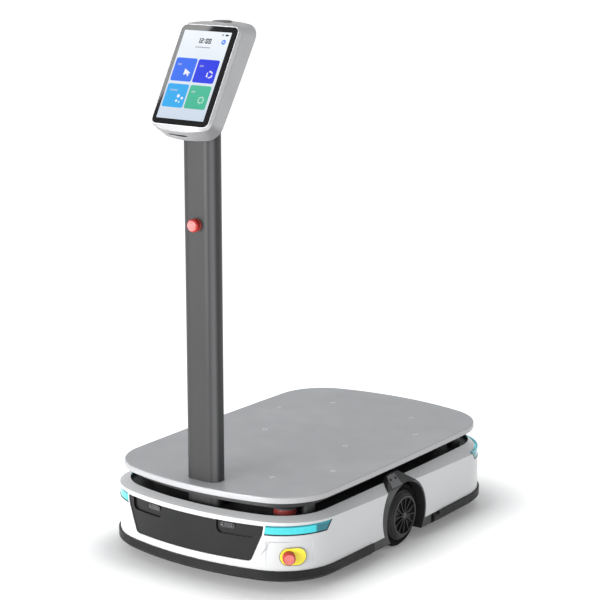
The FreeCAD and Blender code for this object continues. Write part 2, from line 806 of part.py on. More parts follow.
def base_frame(label):
    """Welded chassis: floor plate, two box rails and pivot ears."""
    floor = body(f"{label}_floor")
    holes = []
    for side, end in four_corners():
        holes += circle(side * CASTER_X, end * CASTER_Y, size.caster_bay / 2 - 6)
    inset = size.shell_wall + size.fit_gap
    plate = sketch(floor, "XY", OUTLINE.loop(-inset) + holes, lift_link="<shell_bottom>")
    pad(floor, plate, "<floor_thickness>")
    wells = []
    front, back = size.front_sill_end - 38, size.arm_length - 17
    for side in (1, -1):
        inner, outer = side * (ARM_FACE - 14), side * size.shell_width
        wells += polygon([(inner, -front), (outer, -front), (outer, back), (inner, back)])
    pocket_through(floor, sketch(floor, "XY", wells), SideType="Symmetric")
    pieces = [floor]
    top = size.shell_bottom + size.floor_thickness
    rail_length = "<shell_length> - 2 * <rail_setback>"
    for side in (1, -1):
        left = side * RAIL_X - size.rail_width / 2
        start = size.rail_setback - HALF_LENGTH
        tube = block(f"{label}_tube", dict(Length="<rail_width>", Width=rail_length,
                                           Height="<rail_height>"), at(left, start, top))
        hollow = block(f"{label}_hollow", dict(Length="<rail_width> - 2 * <rail_wall>",
                                               Width=rail_length,
                                               Height="<rail_height> - 2 * <rail_wall>"),
                       at(left + size.rail_wall, start, top + size.rail_wall))
        pieces.append(cut(f"{label}_rail", tube, hollow))
        # ears that hold the swing arm's pivot pin
        reach = size.pivot_radius + 9
        for face in (ARM_FACE - 1 - size.ear_thickness, ARM_FACE + size.arm_thickness + 1):
            left = side * face if side > 0 else -face - size.ear_thickness
            ear = block(f"{label}_ear", dict(Length="<ear_thickness>", Width="<pivot_radius> * 2 + 18",
                                             Height="<pivot_height> + <pivot_radius> + 9 "
                                                    "- <shell_bottom> - <floor_thickness>"),
                        at(left, size.arm_length - reach, top))
            bore = cylinder(f"{label}_bore", "<pivot_radius>", "<ear_thickness>",
                            at(left, size.arm_length, size.pivot_height, Rotation(Y_AXIS, 90)))
            pieces.append(cut(f"{label}_pivot_ear", ear, bore))
    return node(fused(label, pieces), label)


def caster_bays(label):
    """Open-bottomed boxes on the chassis floor, one over each caster."""
    level = size.shell_bottom + size.floor_thickness
    half = size.caster_bay / 2
    bays = []
    for side, end in four_corners():
        left, front = side * CASTER_X - half, end * CASTER_Y - half
        outer = block(f"{label}_outer", dict(Length="<caster_bay>", Width="<caster_bay>",
                                             Height="<caster_bay_height>"), at(left, front, level))
        hollow = block(f"{label}_hollow",
                       dict(Length="<caster_bay> - 2 * <bay_wall>",
                            Width="<caster_bay> - 2 * <bay_wall>",
                            Height="<caster_bay_height> - <bay_wall>"),
                       at(left + size.bay_wall, front + size.bay_wall, level))
        bays.append(cut(f"{label}_bay", outer, hollow))
    return node(fused(label, bays), label)


def deck_posts(label):
    """Posts from the caster bays up to the deck frame."""
    foot = size.shell_bottom + size.floor_thickness + size.caster_bay_height
    length = ("<deck_top> - <deck_thickness> - <deck_frame_height> - <shell_bottom>"
              " - <floor_thickness> - <caster_bay_height>")
    posts = [cylinder(f"{label}_post", "<post_radius>", length,
                      at(side * POST_X, end * CASTER_Y, foot))
             for side, end in four_corners()]
    return node(fused(label, posts), label)


def mast_section(gap=0.0):
    return rounded_box(0, MAST_Y, size.mast_width + 2 * gap, size.mast_depth + 2 * gap,
                       size.mast_corner + gap)


def tray_top():
    """Highest level of the tray that stays clear below the shells' lowest shoulder."""
    fall = math.tan(math.radians(size.break_slope)) * size.shell_length / 2
    lowest_break = size.rear_break_height - fall
    share = size.tray_inset / size.shoulder_inset
    over_rim = lowest_break + (size.shell_top - lowest_break) * share
    slope = math.atan2(size.shell_top - lowest_break, size.shoulder_inset)
    return over_rim - size.shell_wall / math.cos(slope) - size.fit_gap


def rim_pieces(label, offset, width, level, height):
    """A rim along the outline, made of eight pieces that meet where its arcs do."""
    pieces = []
    for centre, radius, start, end in OUTLINE.edges():
        part = body(f"{label}_piece")
        outer, inner = radius + offset, radius + offset - width
        seam = math.degrees(size.running_gap / inner)
        start, end = start + seam, end - seam
        shapes = [arc(centre, outer, start, end), arc(centre, inner, start, end)]
        shapes += [line(on_circle(centre, inner, angle), on_circle(centre, outer, angle))
                   for angle in (start, end)]
        pad(part, sketch(part, "XY", shapes, lift=level), height)
        pieces.append(part)
    return gathered(f"{label}_pieces", pieces)


def top_tray(label):
    """Black cover between the shells, with a raised plinth under the deck frame."""
    tray = body(f"{label}_plate")
    holes = mast_section(size.fit_gap)
    for side, end in four_corners():
        holes += circle(side * POST_X, end * CASTER_Y, size.post_radius + size.fit_gap)
    level = tray_top() - size.tray_thickness
    pad(tray, sketch(tray, "XY", OUTLINE.loop(-size.tray_inset) + holes, lift=level),
        "<tray_thickness>")
    inner = HALF_WIDTH - size.liner_recess - size.liner_depth - size.fit_gap
    far, front, back = size.shell_width, -size.front_sill_end, size.rear_sill_end
    wells = []
    for side in (1, -1):
        wells += polygon([(side * inner, front), (side * far, front), (side * far, back),
                          (side * inner, back)])
    pocket_through(tray, sketch(tray, "XY", wells), SideType="Symmetric")
    # hollow below the plate over each tyre, for the top of the suspension's travel
    axle_level = size.wheel_radius + size.wheel_travel
    for side in (1, -1):
        over = sketch(tray, "YZ", circle(0, axle_level, size.wheel_radius + size.wheel_play),
                      lift=side * (TYRE_FACE - size.tyre_width / 2))
        pocket(tray, over, size.tyre_width + 2 * size.wheel_play, SideType="Symmetric")
    top = size.deck_top - size.deck_thickness - size.deck_frame_height - size.fit_gap
    foot = tray_top() + size.running_gap
    walls = rim_pieces(f"{label}_wall", -size.plinth_inset, size.plinth_wall, foot, top - foot)
    gate = prism(f"{label}_gate", mast_gate(level), HALF_LENGTH / 2, HALF_LENGTH)
    return node(fused(label, [tray, cut(f"{label}_plinth", walls, gate)]), label)


def mast_gate(level):
    """Opening in the plinth for the mast, from side to side of it."""
    half = size.mast_width / 2 + 1
    low, high = level, size.deck_top
    return polygon([(-half, low), (half, low), (half, high), (-half, high)])


def deck_frame(label):
    """Rim of eight bars with two cross bars, which carries the load deck."""
    bottom = size.deck_top - size.deck_thickness - size.deck_frame_height
    rim = rim_pieces(f"{label}_rim", -size.deck_frame_inset, size.deck_frame_bar, bottom,
                     size.deck_frame_height)
    inner = -size.deck_frame_inset - size.deck_frame_bar
    passage = body(f"{label}_passage")
    pad(passage, sketch(passage, "XY", mast_section(size.fit_gap), lift=bottom - 1),
        size.deck_frame_height + 2)
    pieces = [cut(f"{label}_notched", rim, passage)]
    for end in (1, -1):
        bar = doc.addObject("Part::Common", f"{label}_bar")
        front = end * size.deck_hole_outer_y - size.deck_frame_bar / 2
        bar.Base = block(f"{label}_blank", dict(Length="<shell_width>", Width="<deck_frame_bar>",
                                                Height="<deck_frame_height>"),
                         at(-HALF_WIDTH, front, bottom))
        bar.Tool = body(f"{label}_bay")
        pad(bar.Tool, sketch(bar.Tool, "XY", OUTLINE.loop(inner - size.running_gap),
                             lift=bottom), "<deck_frame_height>")
        pieces.append(bar)
    return node(fused(label, pieces), label)


def deck_hole_places():
    """Threaded holes of the load deck: outer four, middle pair and end four."""
    places = [(side * size.deck_hole_outer_x, end * size.deck_hole_outer_y)
              for side, end in four_corners()]
    places += [(side * size.deck_hole_inner_x, end * size.deck_hole_end_y)
               for side, end in four_corners()]
    places += [(size.deck_hole_inner_x, 0), (-size.deck_hole_inner_x, 0)]
    return places


def load_deck(label):
    """Flat load plate with softened edges, an opening for the mast and threaded holes."""
    plate = body(label)
    loops = OUTLINE.loop(-size.deck_inset) + mast_section(size.fit_gap)
    pad(plate, sketch(plate, "XY", loops, lift=size.deck_top - size.deck_thickness),
        "<deck_thickness>")

    def rim(edge):
        box = edge.BoundBox
        middle = edge.valueAt((edge.FirstParameter + edge.LastParameter) / 2)
        outside = abs(OUTLINE.offset_at(middle.x, middle.y) + size.deck_inset) < 0.1
        return outside and box.ZLength < 0.01

    soften(plate, rim, "<deck_edge_round>")
    holes = []
    for x, y in deck_hole_places():
        holes += circle(x, y, size.deck_insert_radius)
    pocket_through(plate, sketch(plate, "XY", holes), Reversed=True)
    return node(plate, label)


def wheel_arch(label, side):
    """Black liner round a drive wheel: fills the gap between the shells and the tyre."""
    liner = body(f"{label}_form")
    front = arch_edge(size.front_arch_shift, size.front_arch_height,
                      size.front_arch_radius - size.fit_gap, size.arch_crown,
                      size.shell_bottom - size.fit_gap)
    rear = arch_edge(-size.rear_arch_shift, size.rear_arch_height,
                     size.rear_arch_radius - size.fit_gap, size.arch_crown,
                     size.shell_bottom - size.fit_gap)
    foot, knee, crest, bend = front
    back_foot, back_knee, back_crest, _ = [
        (-point[0], point[1]) if isinstance(point, tuple) else point for point in rear]
    back_bend = arc((size.rear_arch_shift, size.rear_arch_height),
                    size.rear_arch_radius - size.fit_gap,
                    -math.degrees(math.asin((size.rear_arch_height - back_foot[1])
                                            / (size.rear_arch_radius - size.fit_gap))),
                    size.arch_top_angle)
    sole = size.liner_bottom
    drop = math.degrees(math.asin((size.wheel_radius - sole) / size.liner_bore))
    mouth = on_circle((0, size.wheel_radius), size.liner_bore, -drop)
    sill_top = foot[1]
    shapes = [bend, line(knee, crest), line(crest, back_crest), line(back_crest, back_knee), back_bend,
              line(back_foot, (size.rear_sill_end, sill_top)),
              line((size.rear_sill_end, sill_top), (size.rear_sill_end, sole)),
              line((size.rear_sill_end, sole), mouth),
              arc((0, size.wheel_radius), size.liner_bore, -drop, 180 + drop),
              line((-mouth[0], sole), (-size.front_sill_end, sole)),
              line((-size.front_sill_end, sole), (-size.front_sill_end, sill_top)),
              line((-size.front_sill_end, sill_top), foot)]
    inner = HALF_WIDTH - size.liner_recess - size.liner_depth
    pad(liner, sketch(liner, "YZ", shapes, lift=inner), "<liner_depth>")
    outer = inner + size.liner_depth
    slope_foot = (outer + 1, size.panel_top + 2)
    slope_head = (inner + 4, size.arch_crown + 1)
    bevel = polygon([slope_foot, (outer + 1, size.arch_crown + 1), slope_head])
    pocket_through(liner, sketch(liner, "XZ", bevel), SideType="Symmetric")
    if side > 0:
        return node(liner, label)
    mirror = doc.addObject("Part::Mirroring", f"{label}_mirror")
    mirror.Source = liner
    mirror.Normal = X_AXIS
    return node(mirror, label)


base_frame("base_frame")
caster_bays("caster_bays")
deck_posts("deck_posts")
top_tray("top_tray")
deck_frame("deck_frame")
load_deck("load_deck")
wheel_arch("wheel_arch_right", 1)
wheel_arch("wheel_arch_left", -1)


# ---------------------------------------------------------------- drive units


def wheel_place(side):
    """Frame of a drive wheel: its X axis points outwards along the axle line."""
    return at(z=size.wheel_radius, rotation=UNTURNED if side > 0 else Rotation(Z_AXIS, 180))


def tyre(label, side):
    part = body(label)
    outer, inner = TYRE_FACE, TYRE_FACE - size.tyre_width
    tread, bead = size.wheel_radius, size.tyre_bore
    shoulder, groove, depth = 6.0, 2.0, 2.5
    points = [(inner, bead), (inner, tread - shoulder), (inner + shoulder, tread)]
    for share in (0.3, 0.5, 0.7):
        middle = inner + size.tyre_width * share
        points += [(middle - groove, tread), (middle - groove / 2, tread - depth),
                   (middle + groove / 2, tread - depth), (middle + groove, tread)]
    points += [(outer - shoulder, tread), (outer, tread - shoulder),
               (outer, bead + 5), (outer - 2, bead + 3), (outer - 2, bead)]
    revolve(part, sketch(part, "XY", polygon(points)))
    part.Placement = wheel_place(side)
    return node(part, label)


def hub_motor(label, side):
    """Wheel hub motor: rim, side cover and bore for the fixed axle."""
    part = body(label)
    outer, inner = TYRE_FACE, TYRE_FACE - size.tyre_width
    bore, rim = size.axle_radius + size.running_gap, size.tyre_bore
    points = [(inner - 9, bore), (inner - 9, bore + 12), (inner - 6, bore + 30), (inner - 1, rim - 14),
              (inner - 1, rim), (outer - 2, rim), (outer + 2, rim - 2), (outer + 2, bore)]
    revolve(part, sketch(part, "XY", polygon(points)))
    part.Placement = wheel_place(side)
    return node(part, label)


def hub_cap(label, side):
    """Hub cover: conical flank, sunken dish and twelve turbine spokes round a boss."""
    part = body(label)
    seat, face = TYRE_FACE + 2, HUB_CAP_FACE
    rim, crown, boss = size.tyre_bore - 2, size.hub_cap_radius, size.hub_boss_radius
    dish = face - size.hub_dish_depth
    points = [(seat, 0), (seat, rim), (seat + 2, rim), (seat + 4, rim - 3), (face - 1, crown + 1),
              (face, crown), (face, crown - 3), (dish, crown - 5), (dish, boss), (face - 2, boss),
              (face - 1, boss - 2), (face - 1, 0)]
    revolve(part, sketch(part, "XY", polygon(points)))
    half = size.spoke_width / 2
    root, tip = boss - 2, crown - 3.5
    lean = 5.0
    blade = polygon([(-half, root), (half, root), (half + lean, tip), (lean - half, tip)])
    spoke = pad(part, sketch(part, "YZ", blade, lift=dish - 0.5), size.hub_dish_depth - 0.5)
    polar(part, [spoke], "X_Axis", 12)
    part.Placement = wheel_place(side)
    return node(part, label)


def motor_axle(label, side):
    """Fixed axle of the hub motor with a collar and a nut either side of the swing arm."""
    part = body(label)
    inner = ARM_FACE
    outer = inner + size.arm_thickness
    tip = TYRE_FACE + 1.5
    shaft, nut = size.axle_radius, size.axle_radius + 6
    points = [(inner - 10, 0), (inner - 10, shaft), (inner - 8, nut), (inner, nut), (inner, shaft),
              (outer, shaft), (outer, nut), (outer + 5, nut), (outer + 5, shaft), (tip, shaft), (tip, 0)]
    revolve(part, sketch(part, "XY", polygon(points)))
    part.Placement = wheel_place(side)
    return node(part, label)


def swing_arm(label, side):
    """Trailing arm from the motor axle back to the pivot pin, with lightening window."""
    part = body(label)
    rise = size.pivot_height - size.wheel_radius
    axle, pivot = (0.0, 0.0), (size.arm_length, rise)
    big, small = size.axle_radius + 14, size.pivot_radius + 8
    span = math.hypot(*pivot)
    bearing = math.degrees(math.atan2(rise, size.arm_length))
    lean = math.degrees(math.acos((big - small) / span))
    top = (on_circle(axle, big, bearing + lean), on_circle(pivot, small, bearing + lean))
    low = (on_circle(axle, big, bearing - lean), on_circle(pivot, small, bearing - lean))
    shapes = [line(*top), line(*low), arc(axle, big, bearing + lean, bearing - lean + 360),
              arc(pivot, small, bearing - lean, bearing + lean)]
    shapes += circle(*axle, size.axle_radius) + circle(*pivot, size.pivot_radius + size.running_gap)
    start, end = (0.36, 0.66)
    window_start = (pivot[0] * start, pivot[1] * start)
    window_end = (pivot[0] * end, pivot[1] * end)
    slot = 8.0
    shapes += [arc(window_start, slot, bearing + 90, bearing + 270),
               arc(window_end, slot, bearing - 90, bearing + 90),
               line(on_circle(window_start, slot, bearing + 90), on_circle(window_end, slot, bearing + 90)),
               line(on_circle(window_start, slot, bearing - 90), on_circle(window_end, slot, bearing - 90))]
    inner = ARM_FACE if side > 0 else -ARM_FACE - size.arm_thickness
    pad(part, sketch(part, "YZ", shapes, lift=inner), "<arm_thickness>")
    part.Placement = at(z=size.wheel_radius)
    return node(part, label)


def pivot_pins(label):
    """Headed pins through the chassis ears, one for each swing arm."""
    pins = []
    for side in (1, -1):
        pin = body(f"{label}_pin")
        start = ARM_FACE - 1 - size.ear_thickness - 6
        end = ARM_FACE + size.arm_thickness + 1 + size.ear_thickness + 4
        shaft, head = size.pivot_radius, size.pivot_radius + 4
        points = [(start, 0), (start, head), (start + 6, head), (start + 6, shaft), (end, shaft), (end, 0)]
        revolve(pin, sketch(pin, "XY", polygon(points)))
        turn = UNTURNED if side > 0 else Rotation(Z_AXIS, 180)
        pin.Placement = at(y=size.arm_length, z=size.pivot_height, rotation=turn)
        pins.append(pin)
    return node(fused(label, pins), label)


# ---------------------------------------------------------------- casters


def caster_levels():
    """Heights of a caster's parts: axle, fork crown, plate underside."""
    ceiling = (size.shell_bottom + size.floor_thickness + size.caster_bay_height - size.bay_wall)
    plate = ceiling - 4.0
    crown = size.caster_wheel_radius * 2 + 6
    return size.caster_wheel_radius, crown, plate


def caster_plates(label):
    """Top plates with the fixed swivel spigots, bolted up into the caster bays."""
    axle, crown, plate = caster_levels()
    plates = []
    for side, end in four_corners():
        part = body(f"{label}_plate")
        bolts = []
        reach = size.caster_plate_size / 2 - 12
        for bolt_x, bolt_y in four_corners():
            bolts += circle(bolt_x * reach, bolt_y * reach, size.caster_bolt_radius)
        square = rounded_box(0, 0, size.caster_plate_size, size.caster_plate_size, 8)
        pad(part, sketch(part, "XY", square + bolts, lift=plate), 4.0)
        spigot = sketch(part, "XZ", polygon([(0, crown - 5), (9, crown - 5), (9, crown - 2), (6, crown - 2),
                                             (6, plate - 6), (14, plate - 6), (14, plate), (0, plate)]))
        revolve(part, spigot, axis="V_Axis")
        part.Placement = at(side * CASTER_X, end * CASTER_Y)
        plates.append(part)
    return node(fused(label, plates), label)


def caster_fork(label, side, end):
    """Swivelling fork: crown bored for the spigot, two raked cheeks and the axle bolt."""
    axle, crown, plate = caster_levels()
    part = body(f"{label}_cheeks")
    half = size.caster_wheel_width / 2 + 1.5
    cheek = 3.0
    trail = size.caster_trail
    profile = [line((-14, plate - 6.5), (14, plate - 6.5)), line((14, plate - 6.5), (14, crown - 2)),
               line((-14, plate - 6.5), (-14, crown - 2)),
               line((-14, crown - 2), (trail - 11, axle)), line((14, crown - 2), (trail + 11, axle)),
               arc((trail, axle), 11, 180, 360)]
    outline = sketch(part, "YZ", profile)
    pad(part, outline, 2 * (half + cheek), SideType="Symmetric")
    gap = polygon([(-half, 0), (half, 0), (half, crown - 5), (-half, crown - 5)])
    pocket_through(part, sketch(part, "XZ", gap), SideType="Symmetric")
    gap_radius = size.running_gap
    hollow = polygon([(0, crown - 6), (9 + gap_radius * 5, crown - 6), (9 + gap_radius * 5, crown - 1.7),
                      (6 + gap_radius, crown - 1.7), (6 + gap_radius, plate), (0, plate)])
    revolve(part, sketch(part, "XZ", hollow), axis="V_Axis", kind="Groove")
    bolt = body(f"{label}_bolt")
    shaft = [(-half - cheek - 4, 0), (-half - cheek - 4, 6), (-half - cheek, 6), (-half - cheek, 4),
             (half + cheek, 4), (half + cheek, 6), (half + cheek + 4, 6), (half + cheek + 4, 0)]
    revolve(bolt, sketch(bolt, "XY", polygon(shaft)))
    bolt.Placement = at(y=trail, z=axle)
    fork = fused(label, [part, bolt])
    fork.Placement = at(side * CASTER_X, end * CASTER_Y)
    return node(fork, label)


def caster_wheel(label, side, end):
    axle, crown, plate = caster_levels()
    part = body(label)
    half, radius = size.caster_wheel_width / 2, size.caster_wheel_radius
    points = [(-half - 1, 4 + size.running_gap), (-half - 1, 9), (-half + 3, 10), (-half + 3, radius - 8),
              (-half, radius - 6), (-half, radius - 3), (-half + 3, radius), (half - 3, radius),
              (half, radius - 3), (half, radius - 6), (half - 3, radius - 8), (half - 3, 10),
              (half + 1, 9), (half + 1, 4 + size.running_gap)]
    revolve(part, sketch(part, "XY", polygon(points)))
    part.Placement = at(side * CASTER_X, end * CASTER_Y + size.caster_trail, axle)
    return node(part, label)


for name, sign in (("right", 1), ("left", -1)):
    tyre(f"tyre_{name}", sign)
    hub_motor(f"hub_motor_{name}", sign)
    hub_cap(f"hub_cap_{name}", sign)
    motor_axle(f"motor_axle_{name}", sign)
    swing_arm(f"swing_arm_{name}", sign)
pivot_pins("pivot_pins")
caster_plates("caster_plates")
for name, (sign_x, sign_y) in zip(("front_right", "front_left", "rear_right", "rear_left"),
                                  four_corners()):
    caster_fork(f"caster_fork_{name}", sign_x, sign_y)
    caster_wheel(f"caster_wheel_{name}", sign_x, sign_y)


# ---------------------------------------------------------------- mast and head


HEAD_FRONT = BowedBox(size.head_width, size.head_length, size.head_corner, size.head_bow,
                      size.head_side_bow)
HEAD_BACK = BowedBox(size.head_back_width, size.head_back_length, size.head_back_corner,
                     size.head_bow, size.head_side_bow)
GLASS = BowedBox(size.glass_width, size.glass_length, size.glass_corner, size.fit_gap,
                 size.fit_gap)


def head_frame():
    """Frame of the head: the screen's face is its XY plane, Z points out of the glass."""
    return at(y=HEAD_Y, z=size.head_height, rotation=Rotation(X_AXIS, 90 - size.head_tilt))


def mast_form(name, gap, end_depth):
    """Mast tube run up into the head and cut off parallel to the screen."""
    form = body(name)
    foot = size.shell_bottom + size.floor_thickness + size.mast_foot_thickness
    pad(form, sketch(form, "XY", mast_section(gap), lift=foot), "<head_height>")
    lean = math.radians(size.head_tilt)
    along = Vector(math.sin(lean), math.cos(lean)) * size.head_length
    outward = Vector(-math.cos(lean), math.sin(lean))
    middle = Vector(HEAD_Y, size.head_height) - outward * end_depth
    off = outward * size.head_length
    corners = [middle - along, middle + along, middle + along + off, middle - along + off]
    corners = [(corner.x, corner.y) for corner in corners]
    pocket_through(form, sketch(form, "YZ", polygon(corners)), SideType="Symmetric")
    return form


def mast_stop_frame():
    return at(y=MAST_Y - size.mast_depth / 2, z=size.mast_stop_height,
              rotation=Rotation(X_AXIS, 90))


def mast(label):
    """Hollow mast with a hole in its flat front face for the stop button."""
    end_depth = size.head_plate_depth + size.display_thickness
    outer = mast_form(f"{label}_outer", 0.0, end_depth)
    core = mast_form(f"{label}_core", -size.mast_wall, size.bezel_depth)
    hole = cylinder(f"{label}_stop_hole", "<stop_barrel_radius>", "<mast_wall> * 4",
                    mast_stop_frame().multiply(at(z=-2 * size.mast_wall)))
    return node(cut(label, outer, fused(f"{label}_voids", [core, hole])), label)


def mast_foot(label):
    """Bolted foot with a spigot that fills the mast's end."""
    foot = body(label)
    level = size.shell_bottom + size.floor_thickness
    reach_x, reach_y = size.mast_foot_width / 2 - 13, size.mast_foot_depth / 2 - 12
    bolts = []
    for side, end in four_corners():
        bolts += circle(side * reach_x, MAST_Y + end * reach_y, size.caster_bolt_radius)
    plate = rounded_box(0, MAST_Y, size.mast_foot_width, size.mast_foot_depth, 10)
    pad(foot, sketch(foot, "XY", plate + bolts, lift=level), "<mast_foot_thickness>")
    spigot = mast_section(-size.mast_wall)
    pad(foot, sketch(foot, "XY", spigot, lift=level + size.mast_foot_thickness), "<mast_width> / 2")
    return node(foot, label)


def head_shell(label):
    """Moulded back of the head: tapers open towards the bottom, closed at the back."""
    form = body(f"{label}_form")
    wall = size.head_wall
    tilt = Rotation(X_AXIS, -size.head_taper)
    shift = Vector(0, size.head_back_shift, 0)
    front = sketch(form, "XY", HEAD_FRONT.loop(0), lift=-size.bezel_depth)
    back = sketch(form, "XY", HEAD_BACK.loop(0), lift=-size.head_depth, turn=tilt, shift=shift)
    loft(form, front, [back])

    def back_rim(edge):
        return edge.BoundBox.ZMax < -size.head_depth + size.head_back_length * 0.06

    soften(form, back_rim, "<head_wall> * 2")
    hollow = sketch(form, "XY", HEAD_FRONT.loop(-wall), lift=-size.bezel_depth)
    floor = sketch(form, "XY", HEAD_BACK.loop(-wall), lift=wall - size.head_depth, turn=tilt,
                   shift=shift)
    loft(form, hollow, [floor], kind="SubtractiveLoft")
    form.Placement = head_frame()
    slot = chin_slot(f"{label}_slot", size.fit_gap)
    socket = mast_form(f"{label}_socket", size.fit_gap, size.bezel_depth)
    disc = cylinder(f"{label}_disc_seat", "<top_disc_radius> + <fit_gap>", "<head_wall> * 4",
                    disc_frame().multiply(at(z=-2 * size.head_wall)))
    return node(cut(label, form, fused(f"{label}_openings", [slot, socket, disc])), label)


def disc_frame():
    """Frame of the disc on the head's top face, at the face's middle."""
    reach = size.top_disc_radius * math.cos(math.radians(size.head_tilt))
    depth = size.bezel_depth + reach + 3 * size.fit_gap
    share = (depth - size.bezel_depth) / (size.head_depth - size.bezel_depth)
    front, back = size.head_length / 2, size.head_back_shift + size.head_back_length / 2
    # the top face rises towards the back, which the head's tilt turns level
    height = front + (back - front) * share * 0.85
    spot = head_frame().multVec(Vector(0, height, -depth))
    return at(spot.x, spot.y, spot.z)


def top_disc(label):
    """Low domed disc set into the head's top face."""
    disc = body(label)
    radius, rise = size.top_disc_radius, 2.5
    profile = [line((0, -4), (radius - 4, -4)), line((radius - 4, -4), (radius, -1.5)),
               line((radius, -1.5), (radius, 0.8)), line((radius, 0.8), (radius - 3, rise)),
               line((radius - 3, rise), (0, rise + 1)), line((0, rise + 1), (0, -4))]
    revolve(disc, sketch(disc, "XZ", profile), axis="V_Axis")
    disc.Placement = disc_frame()
    return node(disc, label)


def chin_level():
    """Distance from the head's middle to the chin grille's face, just below the chin's face."""
    front, back = size.head_length / 2, size.head_back_length / 2 - size.head_back_shift
    share = (size.chin_slot_depth - size.bezel_depth) / (size.head_depth - size.bezel_depth)
    end = abs(size.chin_slot_shift) + size.chin_slot_width / 2
    bow = size.head_bow * (2 * end / size.head_width) ** 2
    return front + (back - front) * share - bow - 2 * size.fit_gap


def chin_slot(name, gap):
    """Stadium prism through the chin's wall."""
    slot = body(name)
    width, height = size.chin_slot_width + 2 * gap, size.chin_slot_height + 2 * gap
    outline = rounded_box(size.chin_slot_shift, -size.chin_slot_depth, width, height, height / 2 - 0.1)
    near = chin_level() - size.head_wall * 3
    pad(slot, sketch(slot, "XZ", outline, lift=near), size.head_wall * 6)
    slot.Placement = head_frame()
    return slot


def chin_grille(label):
    """Recessed insert in the chin slot with a lip inside the shell."""
    insert = body(label)
    width, height = size.chin_slot_width, size.chin_slot_height
    floor, thickness = chin_level(), size.chin_grille_thickness
    outline = rounded_box(size.chin_slot_shift, -size.chin_slot_depth, width, height, height / 2 - 0.1)
    pad(insert, sketch(insert, "XZ", outline, lift=floor - thickness), thickness)
    ribs = []
    for step in range(-4, 5):
        ribs += rounded_box(size.chin_slot_shift + step * 4.5, -size.chin_slot_depth, 2.0, height - 3, 0.9)
    pocket(insert, sketch(insert, "XZ", ribs, lift=floor), 1.5)
    insert.Placement = head_frame()
    return node(insert, label)


def head_bezel(label):
    """Front ring of the head: flat seat for the glass, bevelled out to the shell."""
    ring_part = body(label)
    lip = 1.0
    face = sketch(ring_part, "XY", GLASS.loop(lip))
    shoulder = sketch(ring_part, "XY", HEAD_FRONT.loop(0), lift=-size.bezel_bevel)
    loft(ring_part, face, [shoulder])
    skirt = size.bezel_depth - size.bezel_bevel - size.fit_gap
    pad(ring_part, sketch(ring_part, "XY", HEAD_FRONT.loop(0), lift=-size.bezel_bevel), skirt,
        Reversed=True)
    seat = size.glass_thickness + size.fit_gap
    pocket(ring_part, sketch(ring_part, "XY", GLASS.loop(size.fit_gap / 2)), seat)
    pocket_through(ring_part, sketch(ring_part, "XY", GLASS.loop(-5)), SideType="Symmetric")
    ring_part.Placement = head_frame()
    return node(ring_part, label)


def screen_glass(label):
    glass = body(label)
    pad(glass, sketch(glass, "XY", GLASS.loop(0), lift=-size.glass_thickness - size.fit_gap),
        "<glass_thickness>")
    glass.Placement = head_frame()
    return node(glass, label)


def display_panel(label):
    """Display bonded to the back of the glass."""
    panel = body(label)
    level = -size.glass_thickness - size.fit_gap - size.display_thickness
    outline = rounded_box(0, 0, size.display_width, size.display_length, 2)
    pad(panel, sketch(panel, "XY", outline, lift=level), "<display_thickness>")
    panel.Placement = head_frame()
    return node(panel, label)


def head_bracket(label):
    """Steel plate across the head, on the mast's cut end, with spacers for the board."""
    plate = body(label)
    taper = (size.head_width - size.head_back_width) * size.head_plate_depth / size.head_depth
    width = size.head_width - 2 * (size.head_wall + size.fit_gap) - taper
    level = -size.head_plate_depth - size.display_thickness
    outline = rounded_box(0, 4, width, size.head_length / 2, 6)
    pad(plate, sketch(plate, "XY", outline, lift=level + size.fit_gap / 3), 3.0)
    posts = []
    for side, end in four_corners():
        posts += circle(side * (size.board_width / 2 - 10), 4 + end * (size.board_length / 2 - 10), 3)
    pad(plate, sketch(plate, "XY", posts, lift=level + 3), size.board_rise - 3)
    plate.Placement = head_frame()
    return node(plate, label)


def head_board(label):
    """Tablet board with its shielded processor and connectors, on the bracket's spacers."""
    board = body(label)
    level = size.board_rise - size.head_plate_depth - size.display_thickness
    outline = rounded_box(0, 4, size.board_width, size.board_length, 4)
    pad(board, sketch(board, "XY", outline, lift=level), size.board_thickness)
    parts = rounded_box(-18, 14, 34, 34, 2) + rounded_box(28, 26, 18, 26, 2)
    parts += rounded_box(24, -34, 40, 12, 2) + rounded_box(-26, -40, 24, 10, 2)
    pad(board, sketch(board, "XY", parts, lift=level + size.board_thickness), 3.0)
    board.Placement = head_frame()
    return node(board, label)


# ---------------------------------------------------------------- stop buttons


def stop_housing(label, place, wall):
    """Collar, barrel and nut of a stop button clamped on a wall, bored for its stem."""
    housing = body(label)
    barrel, stem = size.stop_barrel_radius, size.stop_barrel_radius - 4.5
    bore = stem + size.running_gap
    profile = [(bore, 4), (size.stop_button_radius - 1.5, 4), (size.stop_button_radius, 2.5),
               (size.stop_button_radius, 0), (barrel, 0), (barrel, -wall), (barrel + 4, -wall),
               (barrel + 4, -wall - 4), (barrel, -wall - 4), (barrel, -26), (0, -26), (0, -22), (bore, -22)]
    revolve(housing, sketch(housing, "XZ", polygon(profile)), axis="V_Axis")
    housing.Placement = place
    return node(housing, label)


def stop_button(label, place):
    """Mushroom cap with a shallow domed face, on its stem."""
    button = body(label)
    stem, cap = size.stop_barrel_radius - 4.5, size.stop_button_radius
    base = 4 + size.stop_travel + size.fit_gap
    top = base + size.stop_button_height
    profile = [(0, top), (cap - 5, top - 0.6), (cap - 1.5, top - 2.2), (cap, top - 4.5), (cap, base + 1),
               (cap - 1, base), (stem, base), (stem, -16), (0, -16)]
    revolve(button, sketch(button, "XZ", polygon(profile)), axis="V_Axis")
    button.Placement = place
    return node(button, label)


